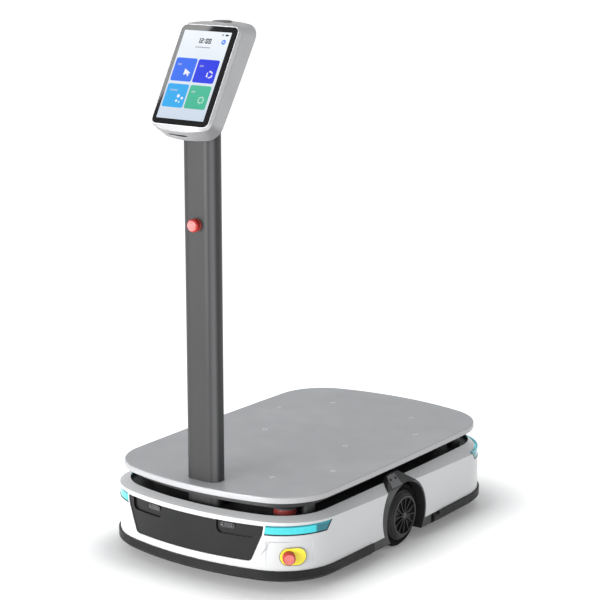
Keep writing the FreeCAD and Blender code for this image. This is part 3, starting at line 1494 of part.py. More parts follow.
def base_stop_plate(label):
    """Pill-shaped plate let into the shell's corner, bored for the stop button."""
    slab = doc.addObject("Part::Common", f"{label}_slab")
    slab.Base = stop_plate_prism(f"{label}_prism", 0.0)
    slab.Tool = ring(f"{label}_ring", size.stop_plate_proud, -size.shell_wall * 2, 0, size.deck_top)
    bore = cylinder(f"{label}_bore", "<stop_barrel_radius>", "<shell_wall> * 6",
                    stop_frame().multiply(at(z=-3 * size.shell_wall)))
    return node(cut(label, slab, bore), label)


# ---------------------------------------------------------------- scanners and electronics


def scanner_places():
    """Laser scanners stand at the front right and rear left corners."""
    x, y = HALF_WIDTH - size.scanner_side_setback, HALF_LENGTH - size.scanner_end_setback
    return [at(x, -y, tray_top()), at(-x, y, tray_top(), Rotation(Z_AXIS, 180))]


def scanner_bodies(label):
    """Foot, waist and cap of each laser scanner."""
    radius, window = size.scanner_radius, size.scanner_window_height
    scanners = []
    for place in scanner_places():
        part = body(f"{label}_scanner")
        profile = [(0, 0), (radius, 0), (radius, 3), (radius - 7, 3), (radius - 7, 3 + window),
                   (radius, 3 + window), (radius, 7 + window), (radius - 3, 9 + window), (0, 9 + window)]
        revolve(part, sketch(part, "XZ", polygon(profile)), axis="V_Axis")
        part.Placement = place
        scanners.append(part)
    return node(fused(label, scanners), label)


def scanner_windows(label):
    """Dark red ring windows of the laser scanners."""
    radius, window = size.scanner_radius, size.scanner_window_height
    gap = size.fit_gap / 3
    rings = []
    for place in scanner_places():
        part = body(f"{label}_ring")
        profile = [(radius - 6.5, 3 + gap), (radius - 1, 3 + gap), (radius - 2.5, 3 + window - gap),
                   (radius - 6.5, 3 + window - gap)]
        revolve(part, sketch(part, "XZ", polygon(profile)), axis="V_Axis")
        part.Placement = place
        rings.append(part)
    return node(fused(label, rings), label)


def floor_box(label, width, length, height, centres, rounding):
    """Rounded boxes on the chassis floor, all in one sub-part."""
    level = size.shell_bottom + size.floor_thickness
    boxes = []
    for x, y in centres:
        part = body(f"{label}_box" if len(centres) > 1 else label)
        outline = rounded_box(x, y, width, length, rounding)
        pad(part, sketch(part, "XY", outline, lift=level), height)

        def top_edge(edge, crest=level + height):
            return edge.BoundBox.ZMin > crest - 0.1

        soften(part, top_edge, "<shell_wall>", kind="Chamfer")
        boxes.append(part)
    return node(boxes[0] if len(boxes) == 1 else fused(label, boxes), label)


def charge_contacts(label):
    """Two sprung-probe pads on the rear panel."""
    pads = []
    for side in (1, -1):
        outline = rounded_box(side * size.contact_shift, size.contact_level, size.contact_length,
                              size.contact_height, size.contact_height / 2 - 0.1)
        pads.append(curved_slab(f"{label}_pad", outline, size.contact_proud - size.panel_recess,
                                size.running_gap - size.panel_recess))
    pair = fused(label, pads)
    pair.Placement = HALF_TURN
    return node(pair, label)


def deck_inserts(label):
    """Threaded steel inserts in the load deck's holes."""
    inserts = []
    for x, y in deck_hole_places():
        insert = body(f"{label}_insert")
        outline = circle(x, y, size.deck_insert_radius) + circle(x, y, size.deck_thread_radius)
        level = size.deck_top - size.deck_thickness
        pad(insert, sketch(insert, "XY", outline, lift=level), "<deck_thickness>")
        inserts.append(insert)
    return node(fused(label, inserts), label)


mast("mast")
mast_foot("mast_foot")
head_shell("head_shell")
head_bezel("head_bezel")
screen_glass("screen_glass")
display_panel("display_panel")
head_bracket("head_bracket")
head_board("head_board")
top_disc("top_disc")
chin_grille("chin_grille")
stop_housing("mast_stop_housing", mast_stop_frame(), size.mast_wall + size.fit_gap)
stop_button("mast_stop_button", mast_stop_frame())
base_stop_face = stop_frame().multiply(at(z=size.stop_plate_proud))
stop_housing("base_stop_housing", base_stop_face, size.stop_plate_proud + 2 * size.shell_wall + 1)
stop_button("base_stop_button", base_stop_face)
base_stop_plate("base_stop_plate")
scanner_bodies("scanner_bodies")
scanner_windows("scanner_windows")
floor_box("battery_pack", 2 * (RAIL_INNER_FACE - size.battery_side_gap), size.battery_length,
          size.battery_height, [(0, size.battery_y)], 12)
control_front = MAST_Y + size.mast_foot_depth / 2 + size.control_mast_gap
floor_box("control_box", 2 * (RAIL_INNER_FACE - size.control_side_gap), size.control_length,
          size.control_height, [(0, control_front + size.control_length / 2)], 8)
driver_width = RAIL_INNER_FACE - size.driver_side_gap - size.driver_middle_gap
driver_x = size.driver_middle_gap + driver_width / 2
floor_box("motor_drivers", driver_width, size.driver_length, size.driver_height,
          [(driver_x, size.driver_y), (-driver_x, size.driver_y)], 5)
charge_contacts("charge_contacts")
deck_inserts("deck_inserts")


def finish():
    """Recompute, check every object and write one STEP file for each sub-part."""
    doc.recompute()
    for item in doc.Objects:
        if {"Invalid", "Error"} & set(item.State):
            raise RuntimeError(f"{item.Name} did not compute: {item.State}")
    for item in NODES:
        if item.Shape.isNull() or not item.Shape.isValid():
            raise RuntimeError(f"{item.Label} has no valid shape")
    os.makedirs("parts", exist_ok=True)
    for item in NODES:
        item.Shape.exportStep(f"parts/{item.Label}.step")


finish()
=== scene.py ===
import math

import bmesh
import bpy
from mathutils import Matrix, Vector, bvhtree


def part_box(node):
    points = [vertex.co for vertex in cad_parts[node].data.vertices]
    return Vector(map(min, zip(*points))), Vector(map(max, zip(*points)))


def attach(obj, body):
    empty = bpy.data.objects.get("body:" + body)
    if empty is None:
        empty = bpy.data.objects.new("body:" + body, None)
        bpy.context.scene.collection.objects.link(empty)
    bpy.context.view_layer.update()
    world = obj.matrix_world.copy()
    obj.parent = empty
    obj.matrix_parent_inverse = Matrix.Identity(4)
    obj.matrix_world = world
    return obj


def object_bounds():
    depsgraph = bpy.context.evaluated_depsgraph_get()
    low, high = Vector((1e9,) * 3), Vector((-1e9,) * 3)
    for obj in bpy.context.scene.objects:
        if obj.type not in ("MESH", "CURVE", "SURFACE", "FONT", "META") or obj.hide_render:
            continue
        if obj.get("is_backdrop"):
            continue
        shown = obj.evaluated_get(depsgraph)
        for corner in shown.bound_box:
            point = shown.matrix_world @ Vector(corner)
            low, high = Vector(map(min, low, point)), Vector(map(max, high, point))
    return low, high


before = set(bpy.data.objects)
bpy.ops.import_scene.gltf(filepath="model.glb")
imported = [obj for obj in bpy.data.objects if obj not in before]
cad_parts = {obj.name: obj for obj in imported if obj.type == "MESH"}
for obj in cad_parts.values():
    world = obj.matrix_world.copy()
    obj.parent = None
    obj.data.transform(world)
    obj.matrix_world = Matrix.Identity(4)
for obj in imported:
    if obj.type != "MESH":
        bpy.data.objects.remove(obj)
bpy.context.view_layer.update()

scene = bpy.context.scene

# ---------------------------------------------------------------- material kit

FLOOR_DUST = (0.10, 0.095, 0.09)
PALE_DUST = (0.55, 0.53, 0.50)
FINE_RELIEF = 0.0002


def scaled(color, factor):
    return tuple(channel * factor for channel in color)


class Finish:
    """A procedural material: a Principled shader with helpers for its node network."""

    def __init__(self, name, color, roughness, metallic=0.0, coat=0.0, specular=0.5):
        self.material = bpy.data.materials.new(name)
        self.material.use_nodes = True
        self.tree = self.material.node_tree
        self.shader = self.tree.nodes["Principled BSDF"]
        self.place = self.add("ShaderNodeTexCoord").outputs["Object"]
        self.color = color
        self.roughness = roughness
        self.set("Base Color", color)
        self.set("Roughness", roughness)
        self.set("Metallic", metallic)
        self.set("Coat Weight", coat)
        self.set("Specular IOR Level", specular)

    def feed(self, socket, value):
        """Give a socket a constant, or the output that it follows."""
        if isinstance(value, bpy.types.NodeSocket):
            self.tree.links.new(value, socket)
        else:
            socket.default_value = (*value, 1) if socket.type == "RGBA" else value

    def add(self, kind, inputs=None, **settings):
        node = self.tree.nodes.new(kind)
        for key, value in settings.items():
            setattr(node, key, value)
        for key, value in (inputs or {}).items():
            self.feed(node.inputs[key], value)
        return node

    def set(self, socket, value):
        """Feed a socket of the shader itself."""
        self.feed(self.shader.inputs[socket], value)
        return value

    def noise(self, scale, detail=3.0, stretch=(1, 1, 1), rough=0.5):
        place = self.stretched(stretch)
        node = self.add("ShaderNodeTexNoise", {"Vector": place, "Scale": scale, "Detail": detail,
                                               "Roughness": rough})
        return node.outputs["Fac"]

    def stretched(self, stretch):
        node = self.add("ShaderNodeMapping", {"Vector": self.place, "Scale": stretch})
        return node.outputs["Vector"]

    def component(self, source, axis):
        """One component of a vector output."""
        return self.add("ShaderNodeSeparateXYZ", {"Vector": source}).outputs[axis]

    def math(self, operation, *values):
        node = self.add("ShaderNodeMath", dict(enumerate(values)), operation=operation)
        return node.outputs["Value"]

    def between(self, value, low, high, start=0.0, end=1.0):
        """Map low to start and high to end, held at both ends."""
        node = self.add("ShaderNodeMapRange", {"Value": value, "From Min": low, "From Max": high,
                                               "To Min": start, "To Max": end})
        return node.outputs["Result"]

    def mix(self, factor, first, second):
        node = self.add("ShaderNodeMix", {"Factor": factor}, data_type="RGBA")
        sockets = [item for item in node.inputs if item.type == "RGBA"]
        for socket, value in zip(sockets, (first, second)):
            self.feed(socket, value)
        return [item for item in node.outputs if item.type == "RGBA"][0]

    def vary_color(self, other, scale, **noise):
        """Blend towards another colour in soft patches."""
        patch = self.between(self.noise(scale, **noise), 0.35, 0.7)
        return self.set("Base Color", self.mix(patch, self.color, other))

    def vary_roughness(self, spread, scale, **noise):
        patch = self.noise(scale, **noise)
        low, high = self.roughness - spread, self.roughness + spread
        self.set("Roughness", self.between(patch, 0.3, 0.7, low, high))

    def grime_below(self, color, dirt, height, strength):
        """Dust on the parts near the floor, in soft patches."""
        low = self.between(self.component(self.place, "Z"), height, 0.0)
        broken = self.between(self.noise(14, detail=5), 0.3, 0.7)
        factor = self.math("MULTIPLY", self.math("MULTIPLY", low, broken), strength)
        return self.set("Base Color", self.mix(factor, color, dirt))

    def by_normal(self, axis, start, end):
        """0 to 1 as the surface turns, by one component of its normal."""
        normal = self.add("ShaderNodeNewGeometry").outputs["Normal"]
        return self.between(self.component(normal, axis), start, end)

    def bump(self, height, strength, distance=0.0005):
        node = self.add("ShaderNodeBump", {"Height": height, "Strength": strength,
                                           "Distance": distance})
        self.set("Normal", node.outputs["Normal"])


def moulded_white():
    finish = Finish("moulded_white", (0.58, 0.585, 0.59), 0.33, coat=0.2)
    tone = finish.vary_color((0.56, 0.565, 0.57), 3.0)
    finish.grime_below(tone, PALE_DUST, 0.11, 0.35)
    finish.vary_roughness(0.05, 22, detail=5)
    finish.bump(finish.noise(900, detail=2), 0.06)
    return finish.material


def gloss_black():
    finish = Finish("gloss_black", (0.008, 0.008, 0.0085), 0.3, coat=0.15, specular=0.2)
    finish.vary_color((0.011, 0.011, 0.0115), 8.0)
    finish.vary_roughness(0.02, 35, detail=3)
    finish.bump(finish.noise(700, detail=2), 0.03)
    return finish.material


def satin_black(name, color=(0.022, 0.022, 0.024), roughness=0.5):
    finish = Finish(name, color, roughness)
    tone = finish.vary_color(scaled(color, 1.5), 11, detail=5)
    finish.grime_below(tone, FLOOR_DUST, 0.10, 0.5)
    finish.vary_roughness(0.08, 40, detail=5)
    finish.bump(finish.noise(1500, detail=3), 0.25)
    return finish.material


def powder_coat(name, color):
    finish = Finish(name, color, 0.42)
    tone = finish.vary_color(scaled(color, 1.25), 6, detail=4)
    finish.grime_below(tone, FLOOR_DUST, 0.10, 0.3)
    finish.vary_roughness(0.06, 30, detail=4)
    finish.bump(finish.noise(2200, detail=2), 0.3)
    return finish.material


def deck_coat():
    """Bead-blasted deck with fine scuffs along it, and painted shade on its sides."""
    finish = Finish("deck_coat", (0.50, 0.51, 0.525), 0.42, metallic=0.2)
    tone = finish.vary_color((0.47, 0.48, 0.495), 4.5, detail=5)
    grain = finish.noise(18, detail=8, stretch=(7, 1, 1), rough=0.7)
    tone = finish.mix(finish.between(grain, 0.60, 0.74, 0.0, 0.3), tone, (0.56, 0.57, 0.58))
    # painted shade: faces that turn from up towards the side get a darker grey
    finish.set("Base Color", finish.mix(finish.by_normal("Z", 0.9, 0.6), tone, (0.42, 0.42, 0.43)))
    finish.vary_roughness(0.07, 16, detail=6)
    finish.bump(finish.noise(1800, detail=2), 0.18)
    return finish.material


def brushed(name, color, roughness, along, metallic=1.0):
    """Metal with fine lines along one axis."""
    finish = Finish(name, color, roughness, metallic=metallic)
    stretch = tuple(1.0 if axis == along else 60.0 for axis in "XYZ")
    lines = finish.noise(12, detail=6, stretch=stretch)
    tone = finish.mix(finish.between(lines, 0.3, 0.7), color, scaled(color, 0.82))
    finish.set("Base Color", tone)
    finish.set("Roughness", finish.between(lines, 0.3, 0.7, roughness - 0.06, roughness + 0.08))
    finish.bump(lines, 0.12, FINE_RELIEF)
    return finish.material


def rubber(name, color, roughness=0.72, highlight_level=None, specular=0.25):
    """Rubber, with an optional paler line at one height, which is a painted highlight."""
    finish = Finish(name, color, roughness, specular=specular)
    tone = finish.vary_color(scaled(color, 1.6), 25, detail=6)
    tone = finish.grime_below(tone, FLOOR_DUST, 0.06, 0.12)
    if highlight_level:
        # painted highlight: a paler line along one height
        rise = finish.math("SUBTRACT", finish.component(finish.place, "Z"), highlight_level)
        line = finish.between(finish.math("ABSOLUTE", rise), 0.0012, 0.0, 0.0, 0.6)
        finish.set("Base Color", finish.mix(line, tone, scaled(color, 5)))
    finish.vary_roughness(0.08, 60, detail=4)
    finish.bump(finish.noise(1300, detail=4), 0.45)
    return finish.material


def moulded(name, color, roughness, coat=0.15, grain=1200, specular=0.5):
    finish = Finish(name, color, roughness, coat=coat, specular=specular)
    finish.vary_color(scaled(color, 0.92), 14, detail=4)
    finish.vary_roughness(0.05, 50, detail=4)
    finish.bump(finish.noise(grain, detail=2), 0.1)
    return finish.material


# the light strips' place, for their finish and for the pieces beside them
strip_low, strip_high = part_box("front_light_strips")
strip_end = -strip_high[1]

# metres over which each band of a light strip sets in: the full colour and the dark facet, from
# the strip's side end; the bevel, down from its top; the lip, up from its foot
COLOR_RUN, FACET_RUN = (0.13, 0.06), (0.050, 0.044)
BEVEL_RUN, LIP_RUN = (0.0050, 0.0036), (0.0028, 0.0016)


def light_bar():
    """Lit acrylic bar: dark top bevel and lower lip, and a dark facet at each cut side end."""
    finish = Finish("light_bar", (0.003, 0.04, 0.05), 0.12, coat=0.3, specular=0.3)
    along = finish.math("ABSOLUTE", finish.component(finish.place, "Y"))
    level = finish.component(finish.place, "Z")
    far, facet = [finish.between(along, strip_end + start, strip_end + full)
                  for start, full in (COLOR_RUN, FACET_RUN)]
    bevel = finish.between(level, *[strip_high[2] - drop for drop in BEVEL_RUN])
    lip = finish.between(level, *[strip_low[2] + rise for rise in LIP_RUN])
    glow = finish.mix(far, (0.11, 0.96, 0.99), (0.05, 0.78, 0.86))
    for edge, color in ((facet, (0.008, 0.15, 0.19)), (bevel, (0.012, 0.26, 0.32)),
                        (lip, (0.002, 0.03, 0.04))):
        glow = finish.mix(edge, glow, color)
    cells = finish.between(finish.noise(90, detail=1), 0.3, 0.7, 0.9, 1.0)
    finish.set("Emission Color", glow)
    finish.set("Emission Strength", finish.math("MULTIPLY", cells, 0.9))
    finish.vary_roughness(0.03, 60)
    finish.bump(finish.noise(260, detail=1), 0.05)
    return finish.material


def mast_finish():
    """Dark anodised extrusion, with a painted highlight down its rounded corners where they turn
    most of the way to +X.
    """
    finish = Finish("mast_anodised", (0.036, 0.036, 0.037), 0.42, specular=0.25)
    tone = finish.vary_color((0.040, 0.040, 0.041), 3.0, stretch=(8, 8, 1))
    # painted highlight: a paler band picked out by the direction of the surface
    sideways = finish.math("ABSOLUTE", finish.by_normal("X", -1.0, 1.0))
    turning = finish.between(sideways, 0.5, 1.0)
    corner = finish.math("MULTIPLY", finish.between(turning, 0.45, 0.75),
                         finish.between(turning, 0.97, 0.85))
    finish.set("Base Color", finish.mix(corner, tone, (0.105, 0.105, 0.108)))
    finish.vary_roughness(0.05, 20, stretch=(60, 60, 1), detail=5)
    finish.bump(finish.noise(12, detail=5, stretch=(60, 60, 1)), 0.08, FINE_RELIEF)
    return finish.material


def cast_silver(name, color, shade_color, roughness=0.34):
    """Silver paint, with painted shade on faces that look down."""
    finish = Finish(name, color, roughness, coat=0.1)
    tone = finish.vary_color(scaled(color, 0.93), 14, detail=4)
    # painted shade: a darker tone where the surface looks down
    finish.set("Base Color", finish.mix(finish.by_normal("Z", -0.05, -0.4), tone, shade_color))
    finish.vary_roughness(0.05, 50, detail=4)
    finish.bump(finish.noise(1200, detail=2), 0.1)
    return finish.material


def screen_cover():
    """Black cover glass, on which the lit shapes of the display lie."""
    finish = Finish("screen_cover", (0.005, 0.005, 0.005), 0.03, specular=0.28)
    finish.vary_color((0.007, 0.007, 0.008), 9, detail=4)
    finish.vary_roughness(0.008, 30, detail=6)
    finish.bump(finish.noise(40, detail=1), 0.01)
    return finish.material


def circuit():
    """Green circuit board in a brick pattern, with gold lines between its fields."""
    green = (0.015, 0.09, 0.045)
    finish = Finish("circuit", green, 0.4)
    brick = finish.add("ShaderNodeTexBrick", {
        "Vector": finish.stretched((60, 60, 60)), "Color1": green, "Color2": (0.02, 0.12, 0.06),
        "Mortar": (0.25, 0.2, 0.08)})
    finish.set("Base Color", brick.outputs["Color"])
    finish.vary_roughness(0.08, 80)
    finish.bump(finish.noise(500), 0.1)
    return finish.material


# ---------------------------------------------------------------- mesh kit

MM = 0.001
UP = Vector((0, 0, 1))
SMOOTH_BELOW = 35       # degrees: turned and flat parts keep their sharper edges
BEAD_SMOOTH_BELOW = 70
SHARP_EDGE = 25         # degrees: an edge of the frame's nodes that can carry a bead
FACE_SHARE, STRIP_SHARE = 0.8, 0.6      # how squarely a face looks in a direction, up to 1
MEETING = 1e-6          # metres between the ends of a chain that counts as closed


def mesh_piece(name, points, faces, material, crease=None):
    """An object from points and faces. With a crease angle it is shaded smooth below it."""
    mesh = bpy.data.meshes.new(name)
    mesh.from_pydata([tuple(point) for point in points], [], faces)
    mesh.materials.append(material)
    if crease:
        mesh.polygons.foreach_set("use_smooth", [True] * len(mesh.polygons))
        mesh.set_sharp_from_angle(angle=math.radians(crease))
    item = bpy.data.objects.new(name, mesh)
    scene.collection.objects.link(item)
    return item


def fitted(item, body):
    """Let a piece ride on a body of the frame."""
    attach(item, body)
    return item


def axes_at(spot, across, upward, outward):
    """Frame at a spot, with its X, Y and Z along three unit vectors."""
    return Matrix.Translation(spot) @ Matrix((across, upward, outward)).transposed().to_4x4()


def facing(node, outward):
    """Frame at the middle of a node's outermost face in one direction: Z out, Y up."""
    item = bpy.data.objects[node]
    outward = Vector(outward).normalized()
    across = UP.cross(outward).normalized()
    axes = (across, outward.cross(across), outward)
    points = [item.matrix_world @ vertex.co for vertex in item.data.vertices]
    spans = [[point.dot(axis) for point in points] for axis in axes]
    middle = (axes[0] * (min(spans[0]) + max(spans[0])) / 2
              + axes[1] * (min(spans[1]) + max(spans[1])) / 2 + axes[2] * max(spans[2]))
    return axes_at(middle, *axes)


def shifted(place, x=0.0, y=0.0, z=0.0, turn=0.0):
    """A place moved in its own millimetre axes and turned about its Z axis in degrees."""
    move = Matrix.Translation(Vector((x, y, z)) * MM)
    return place @ move @ Matrix.Rotation(math.radians(turn), 4, "Z")


def skin(node):
    """A node's surface, for finding places on it."""
    return bvhtree.BVHTree.FromObject(bpy.data.objects[node],
                                      bpy.context.evaluated_depsgraph_get())


def seat(surface, start, direction):
    """Frame where a line from start first meets a surface, with Z out of the surface."""
    spot, normal = surface.ray_cast(start, direction)[:2]
    return Matrix.Translation(spot) @ normal.to_track_quat("Z", "Y").to_matrix().to_4x4()


def hexagon_reach(angle):
    """Distance to a unit hexagon's edge relative to its inscribed circle."""
    sector = math.pi / 3
    return 1 / math.cos((angle % sector) - sector / 2)


def turned(name, profile, place, material, steps=48, hexed=(), open_bore=False):
    """Lathe part: (radius, height) points in millimetres, turned about the place's Z axis.

    Points whose number is in hexed follow a hexagon instead of a circle. With an open bore
    the last point is joined to the first, which makes a ring."""
    points, faces = [], []
    for step in range(steps):
        angle = 2 * math.pi * step / steps
        for number, (radius, height) in enumerate(profile):
            reach = radius * (hexagon_reach(angle) if number in hexed else 1.0)
            spot = Vector((reach * math.cos(angle), reach * math.sin(angle), height))
            points.append(place @ (spot * MM))
    count = len(profile)
    for step in range(steps):
        here, follow = step * count, (step + 1) % steps * count
        for number in range(count if open_bore else count - 1):
            onward = (number + 1) % count
            faces.append((here + number, follow + number, follow + onward, here + onward))
    if not open_bore:
        faces.append([step * count for step in reversed(range(steps))])
        faces.append([step * count + count - 1 for step in range(steps)])
    return mesh_piece(name, points, faces, material, crease=SMOOTH_BELOW)


def socket_screw(name, place, size, material):
    """Button-head screw of one (radius, height) with a hexagon socket, on the place's XY plane."""
    radius, height = size
    socket = radius * 0.45
    profile = [(radius, -0.5), (radius, height * 0.35), (radius * 0.93, height * 0.7),
               (radius * 0.75, height), (socket, height), (socket, height * 0.25)]
    return turned(name, profile, place, material, steps=24, hexed=(4, 5))


def plate(name, outline, thickness, place, material, bevel):
    """Flat part from a millimetre outline, on the place's XY plane, with a bevelled rim."""
    middle = Vector((sum(x for x, _ in outline), sum(y for _, y in outline))) / len(outline)
    points, faces = [], []
    for inset, level in ((0, 0), (0, thickness - bevel), (bevel, thickness)):
        for x, y in outline:
            arm = Vector((x, y)) - middle
            spot = middle + arm * (1 - inset / arm.length)
            points.append(place @ (Vector((spot.x, spot.y, level)) * MM))
    count = len(outline)
    for level in range(2):
        for number in range(count):
            follow = (number + 1) % count
            faces.append((level * count + number, level * count + follow,
                          (level + 1) * count + follow, (level + 1) * count + number))
    faces.append(list(reversed(range(count))))
    faces.append([2 * count + number for number in range(count)])
    return mesh_piece(name, points, faces, material, crease=SMOOTH_BELOW)


def on_circle(radius, degrees):
    angle = math.radians(degrees)
    return (radius * math.cos(angle), radius * math.sin(angle))


def band(outer, inner, start, end, steps=12):
    """Outline of an arc-shaped band between two angles in degrees."""
    turns = [start + (end - start) * step / steps for step in range(steps + 1)]
    back = [end + (start - end) * step / steps for step in range(steps + 1)]
    return [on_circle(outer, turn) for turn in turns] + [on_circle(inner, turn) for turn in back]


def rounded(width, height, radius, steps=8):
    """Outline of a rectangle with rounded corners, about its middle."""
    points = []
    for corner, (sx, sy) in enumerate(((1, 1), (-1, 1), (-1, -1), (1, -1))):
        for step in range(steps + 1):
            angle = math.pi / 2 * (corner + step / steps)
            points.append((sx * (width / 2 - radius) + radius * math.cos(angle),
                           sy * (height / 2 - radius) + radius * math.sin(angle)))
    return points


def disc(radius, steps):
    turns = [2 * math.pi * step / steps for step in range(steps)]
    return [(radius * math.cos(turn), radius * math.sin(turn)) for turn in turns]


def moved(points, x, y, degrees=0.0):
    """An outline turned about its origin and then moved."""
    c, s = math.cos(math.radians(degrees)), math.sin(math.radians(degrees))
    return [(x + px * c - py * s, y + px * s + py * c) for px, py in points]


def creases(node, keep):
    """Chains of points along a node's sharp edges; keep(middle, normals) picks the edges."""
    item = bpy.data.objects[node]
    mesh = bmesh.new()
    mesh.from_mesh(item.data)
    mesh.transform(item.matrix_world)
    bmesh.ops.remove_doubles(mesh, verts=mesh.verts, dist=0.00001)
    mesh.verts.index_update()
    links = {}
    for edge in mesh.edges:
        if len(edge.link_faces) == 2 and edge.calc_face_angle() > math.radians(SHARP_EDGE):
            first, last = edge.verts
            normals = [face.normal for face in edge.link_faces]
            if keep((first.co + last.co) / 2, normals):
                links.setdefault(first.index, []).append(last.index)
                links.setdefault(last.index, []).append(first.index)
    chains = []
    for start in sorted(links, key=lambda index: len(links[index]) != 1):
        chain = [start]
        while links[chain[-1]]:
            follow = links[chain[-1]].pop()
            links[follow].remove(chain[-1])
            chain.append(follow)
        chains.append(chain)
    mesh.verts.ensure_lookup_table()
    result = [[mesh.verts[index].co.copy() for index in chain] for chain in chains
              if len(chain) > 1]
    mesh.free()
    return result


def bead(name, chains, radius, material, sides=6):
    """Thin round bead along chains of points; a chain whose ends meet is closed."""
    points, faces = [], []
    for chain in chains:
        closed = len(chain) > 3 and (chain[0] - chain[-1]).length < MEETING
        spine = chain[:-1] if closed else chain
        count, start, side = len(spine), len(points), None
        for number, spot in enumerate(spine):
            before = spine[number - 1] if closed or number else spot
            after = spine[(number + 1) % count] if closed or number < count - 1 else spot
            along = (after - before).normalized()
            side = side or along.orthogonal()
            side = (side - along * side.dot(along)).normalized()
            other = along.cross(side)
            for corner in range(sides):
                angle = 2 * math.pi * corner / sides
                arm = side * math.cos(angle) + other * math.sin(angle)
                points.append(spot + arm * radius * MM)
        for number in range(count if closed else count - 1):
            here, follow = start + number * sides, start + (number + 1) % count * sides
            for corner in range(sides):
                turn = (corner + 1) % sides
                faces.append((here + corner, here + turn, follow + turn, follow + corner))
    return mesh_piece(name, points, faces, material, crease=BEAD_SMOOTH_BELOW)


def faces_out(outward):
    """Picks edges beside a face that looks in one direction."""
    return lambda middle, normals: any(normal.dot(outward) > FACE_SHARE for normal in normals)


# ---------------------------------------------------------------- dressing the frame's nodes

SIDED = (("right", 1), ("left", -1))
SIDES = ("right", "left")
CORNERS = ("front_right", "front_left", "rear_right", "rear_left")


def each(stem, places):
    return [f"{stem}_{place}" for place in places]


def dress(material, *names):
    """Give frame nodes a material in all their slots."""
    for name in names:
        item = bpy.data.objects[name]
        item.data.materials.clear()
        item.data.materials.append(material)


dress(moulded_white(), "front_shell", "rear_shell")
dress(gloss_black(), "front_panel", "rear_panel")
dress(moulded("lens_cover", (0.008, 0.008, 0.010), 0.08, coat=1.0), "depth_cameras")
dress(light_bar(), "front_light_strips", "rear_light_strips")
bumper_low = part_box("front_bumper")[0][2]
# the bumper's painted highlight runs along the top of its lower chamfer
bumper_rubber = rubber("bumper_rubber", (0.0055, 0.0055, 0.006), 0.5, highlight_level=bumper_low + 0.0085)
dress(bumper_rubber, "front_bumper", "rear_bumper")
dress(powder_coat("frame_coat", (0.018, 0.018, 0.019)), "base_frame", "caster_bays",
      "deck_posts", "deck_frame")
dress(satin_black("tray_plastic"), "top_tray", "scanner_bodies")
dress(satin_black("arch_plastic", (0.017, 0.017, 0.018), 0.45), *each("wheel_arch", SIDES))
dress(deck_coat(), "load_deck")
dress(brushed("zinc_plate", (0.62, 0.63, 0.66), 0.35, "X"), "caster_plates", "bumper_guides",
      *each("caster_fork", CORNERS))
dress(rubber("caster_tread", (0.045, 0.045, 0.047)), *each("caster_wheel", CORNERS))
tyre_rubber = rubber("tyre_rubber", (0.0042, 0.0042, 0.0045), 0.75, specular=0.12)
dress(tyre_rubber, *each("tyre", SIDES))
dress(brushed("motor_metal", (0.06, 0.06, 0.065), 0.4, "X"), *each("hub_motor", SIDES))
dress(moulded("hub_cap_plastic", (0.012, 0.012, 0.013), 0.45, coat=0.0, grain=900, specular=0.3),
      *each("hub_cap", SIDES))
dress(brushed("turned_steel", (0.55, 0.55, 0.57), 0.28, "X"), "pivot_pins",
      *each("motor_axle", SIDES))
dress(brushed("insert_steel", (0.88, 0.88, 0.89), 0.35, "Z", metallic=0.3), "deck_inserts")
dress(powder_coat("arm_coat", (0.014, 0.014, 0.015)), "mast_foot", "head_bracket",
      *each("swing_arm", SIDES))
dress(mast_finish(), "mast")
dress(cast_silver("head_silver", (0.42, 0.42, 0.43), (0.19, 0.19, 0.195)), "head_shell")
dress(cast_silver("bezel_silver", (0.40, 0.40, 0.41), (0.22, 0.22, 0.225), 0.3), "head_bezel")
dress(screen_cover(), "screen_glass")
dress(moulded("display_face", (0.7, 0.76, 0.85), 0.2), "display_panel")
dress(circuit(), "head_board")
dress(moulded("disc_plastic", (0.10, 0.10, 0.105), 0.45), "top_disc")
dress(satin_black("grille_plastic", (0.012, 0.012, 0.013), 0.5), "chin_grille")
dress(moulded("stop_red", (0.46, 0.022, 0.017), 0.3, coat=0.2),
      "mast_stop_button", "base_stop_button")
dress(moulded("stop_collar", (0.40, 0.03, 0.02), 0.4), "mast_stop_housing", "base_stop_housing")
dress(moulded("stop_yellow", (1.0, 0.84, 0.04), 0.4, coat=0.2), "base_stop_plate")
dress(moulded("scanner_red", (0.24, 0.032, 0.028), 0.2, coat=0.5), "scanner_windows")
dress(moulded("battery_case", (0.035, 0.036, 0.038), 0.5), "battery_pack")
dress(brushed("box_metal", (0.42, 0.43, 0.45), 0.4, "Y"), "control_box", "motor_drivers")
dress(brushed("contact_copper", (0.75, 0.40, 0.20), 0.25, "X"), "charge_contacts")

# ---------------------------------------------------------------- screen

HEAD_TILT = math.radians(30)
GLASS_THICKNESS = 0.002
LAYER_STEP = 0.1        # millimetres between one layer of lit shapes and the next
FADE_REACH = 0.12       # metres above and below the middle over which a colour runs down
glass_low, glass_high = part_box("screen_glass")
glass_centre = (Vector(glass_low) + Vector(glass_high)) / 2
screen_up = Vector((0, math.sin(HEAD_TILT), math.cos(HEAD_TILT)))
screen_out = Vector((0, -math.cos(HEAD_TILT), math.sin(HEAD_TILT)))
screen_frame = axes_at(glass_centre + screen_out * (GLASS_THICKNESS / 2),
                       Vector((1, 0, 0)), screen_up, screen_out)


def glow(name, color, second=None):
    """Lit screen colour, running softly into a second one down the screen."""
    finish = Finish(name, (0.01, 0.01, 0.01), 0.2, specular=0.06)
    second = second or scaled(color, 0.93)
    middle = screen_frame.translation.z
    run = finish.between(finish.component(finish.place, "Z"), middle - FADE_REACH,
                         middle + FADE_REACH)
    soft = finish.between(finish.noise(25, detail=1), 0.2, 0.8, -0.06, 0.06)
    finish.set("Emission Color", finish.mix(finish.math("ADD", run, soft), second, color))
    finish.set("Emission Strength", 1.0)
    finish.set("Roughness", finish.between(finish.noise(400), 0.3, 0.7, 0.18, 0.24))
    return finish.material


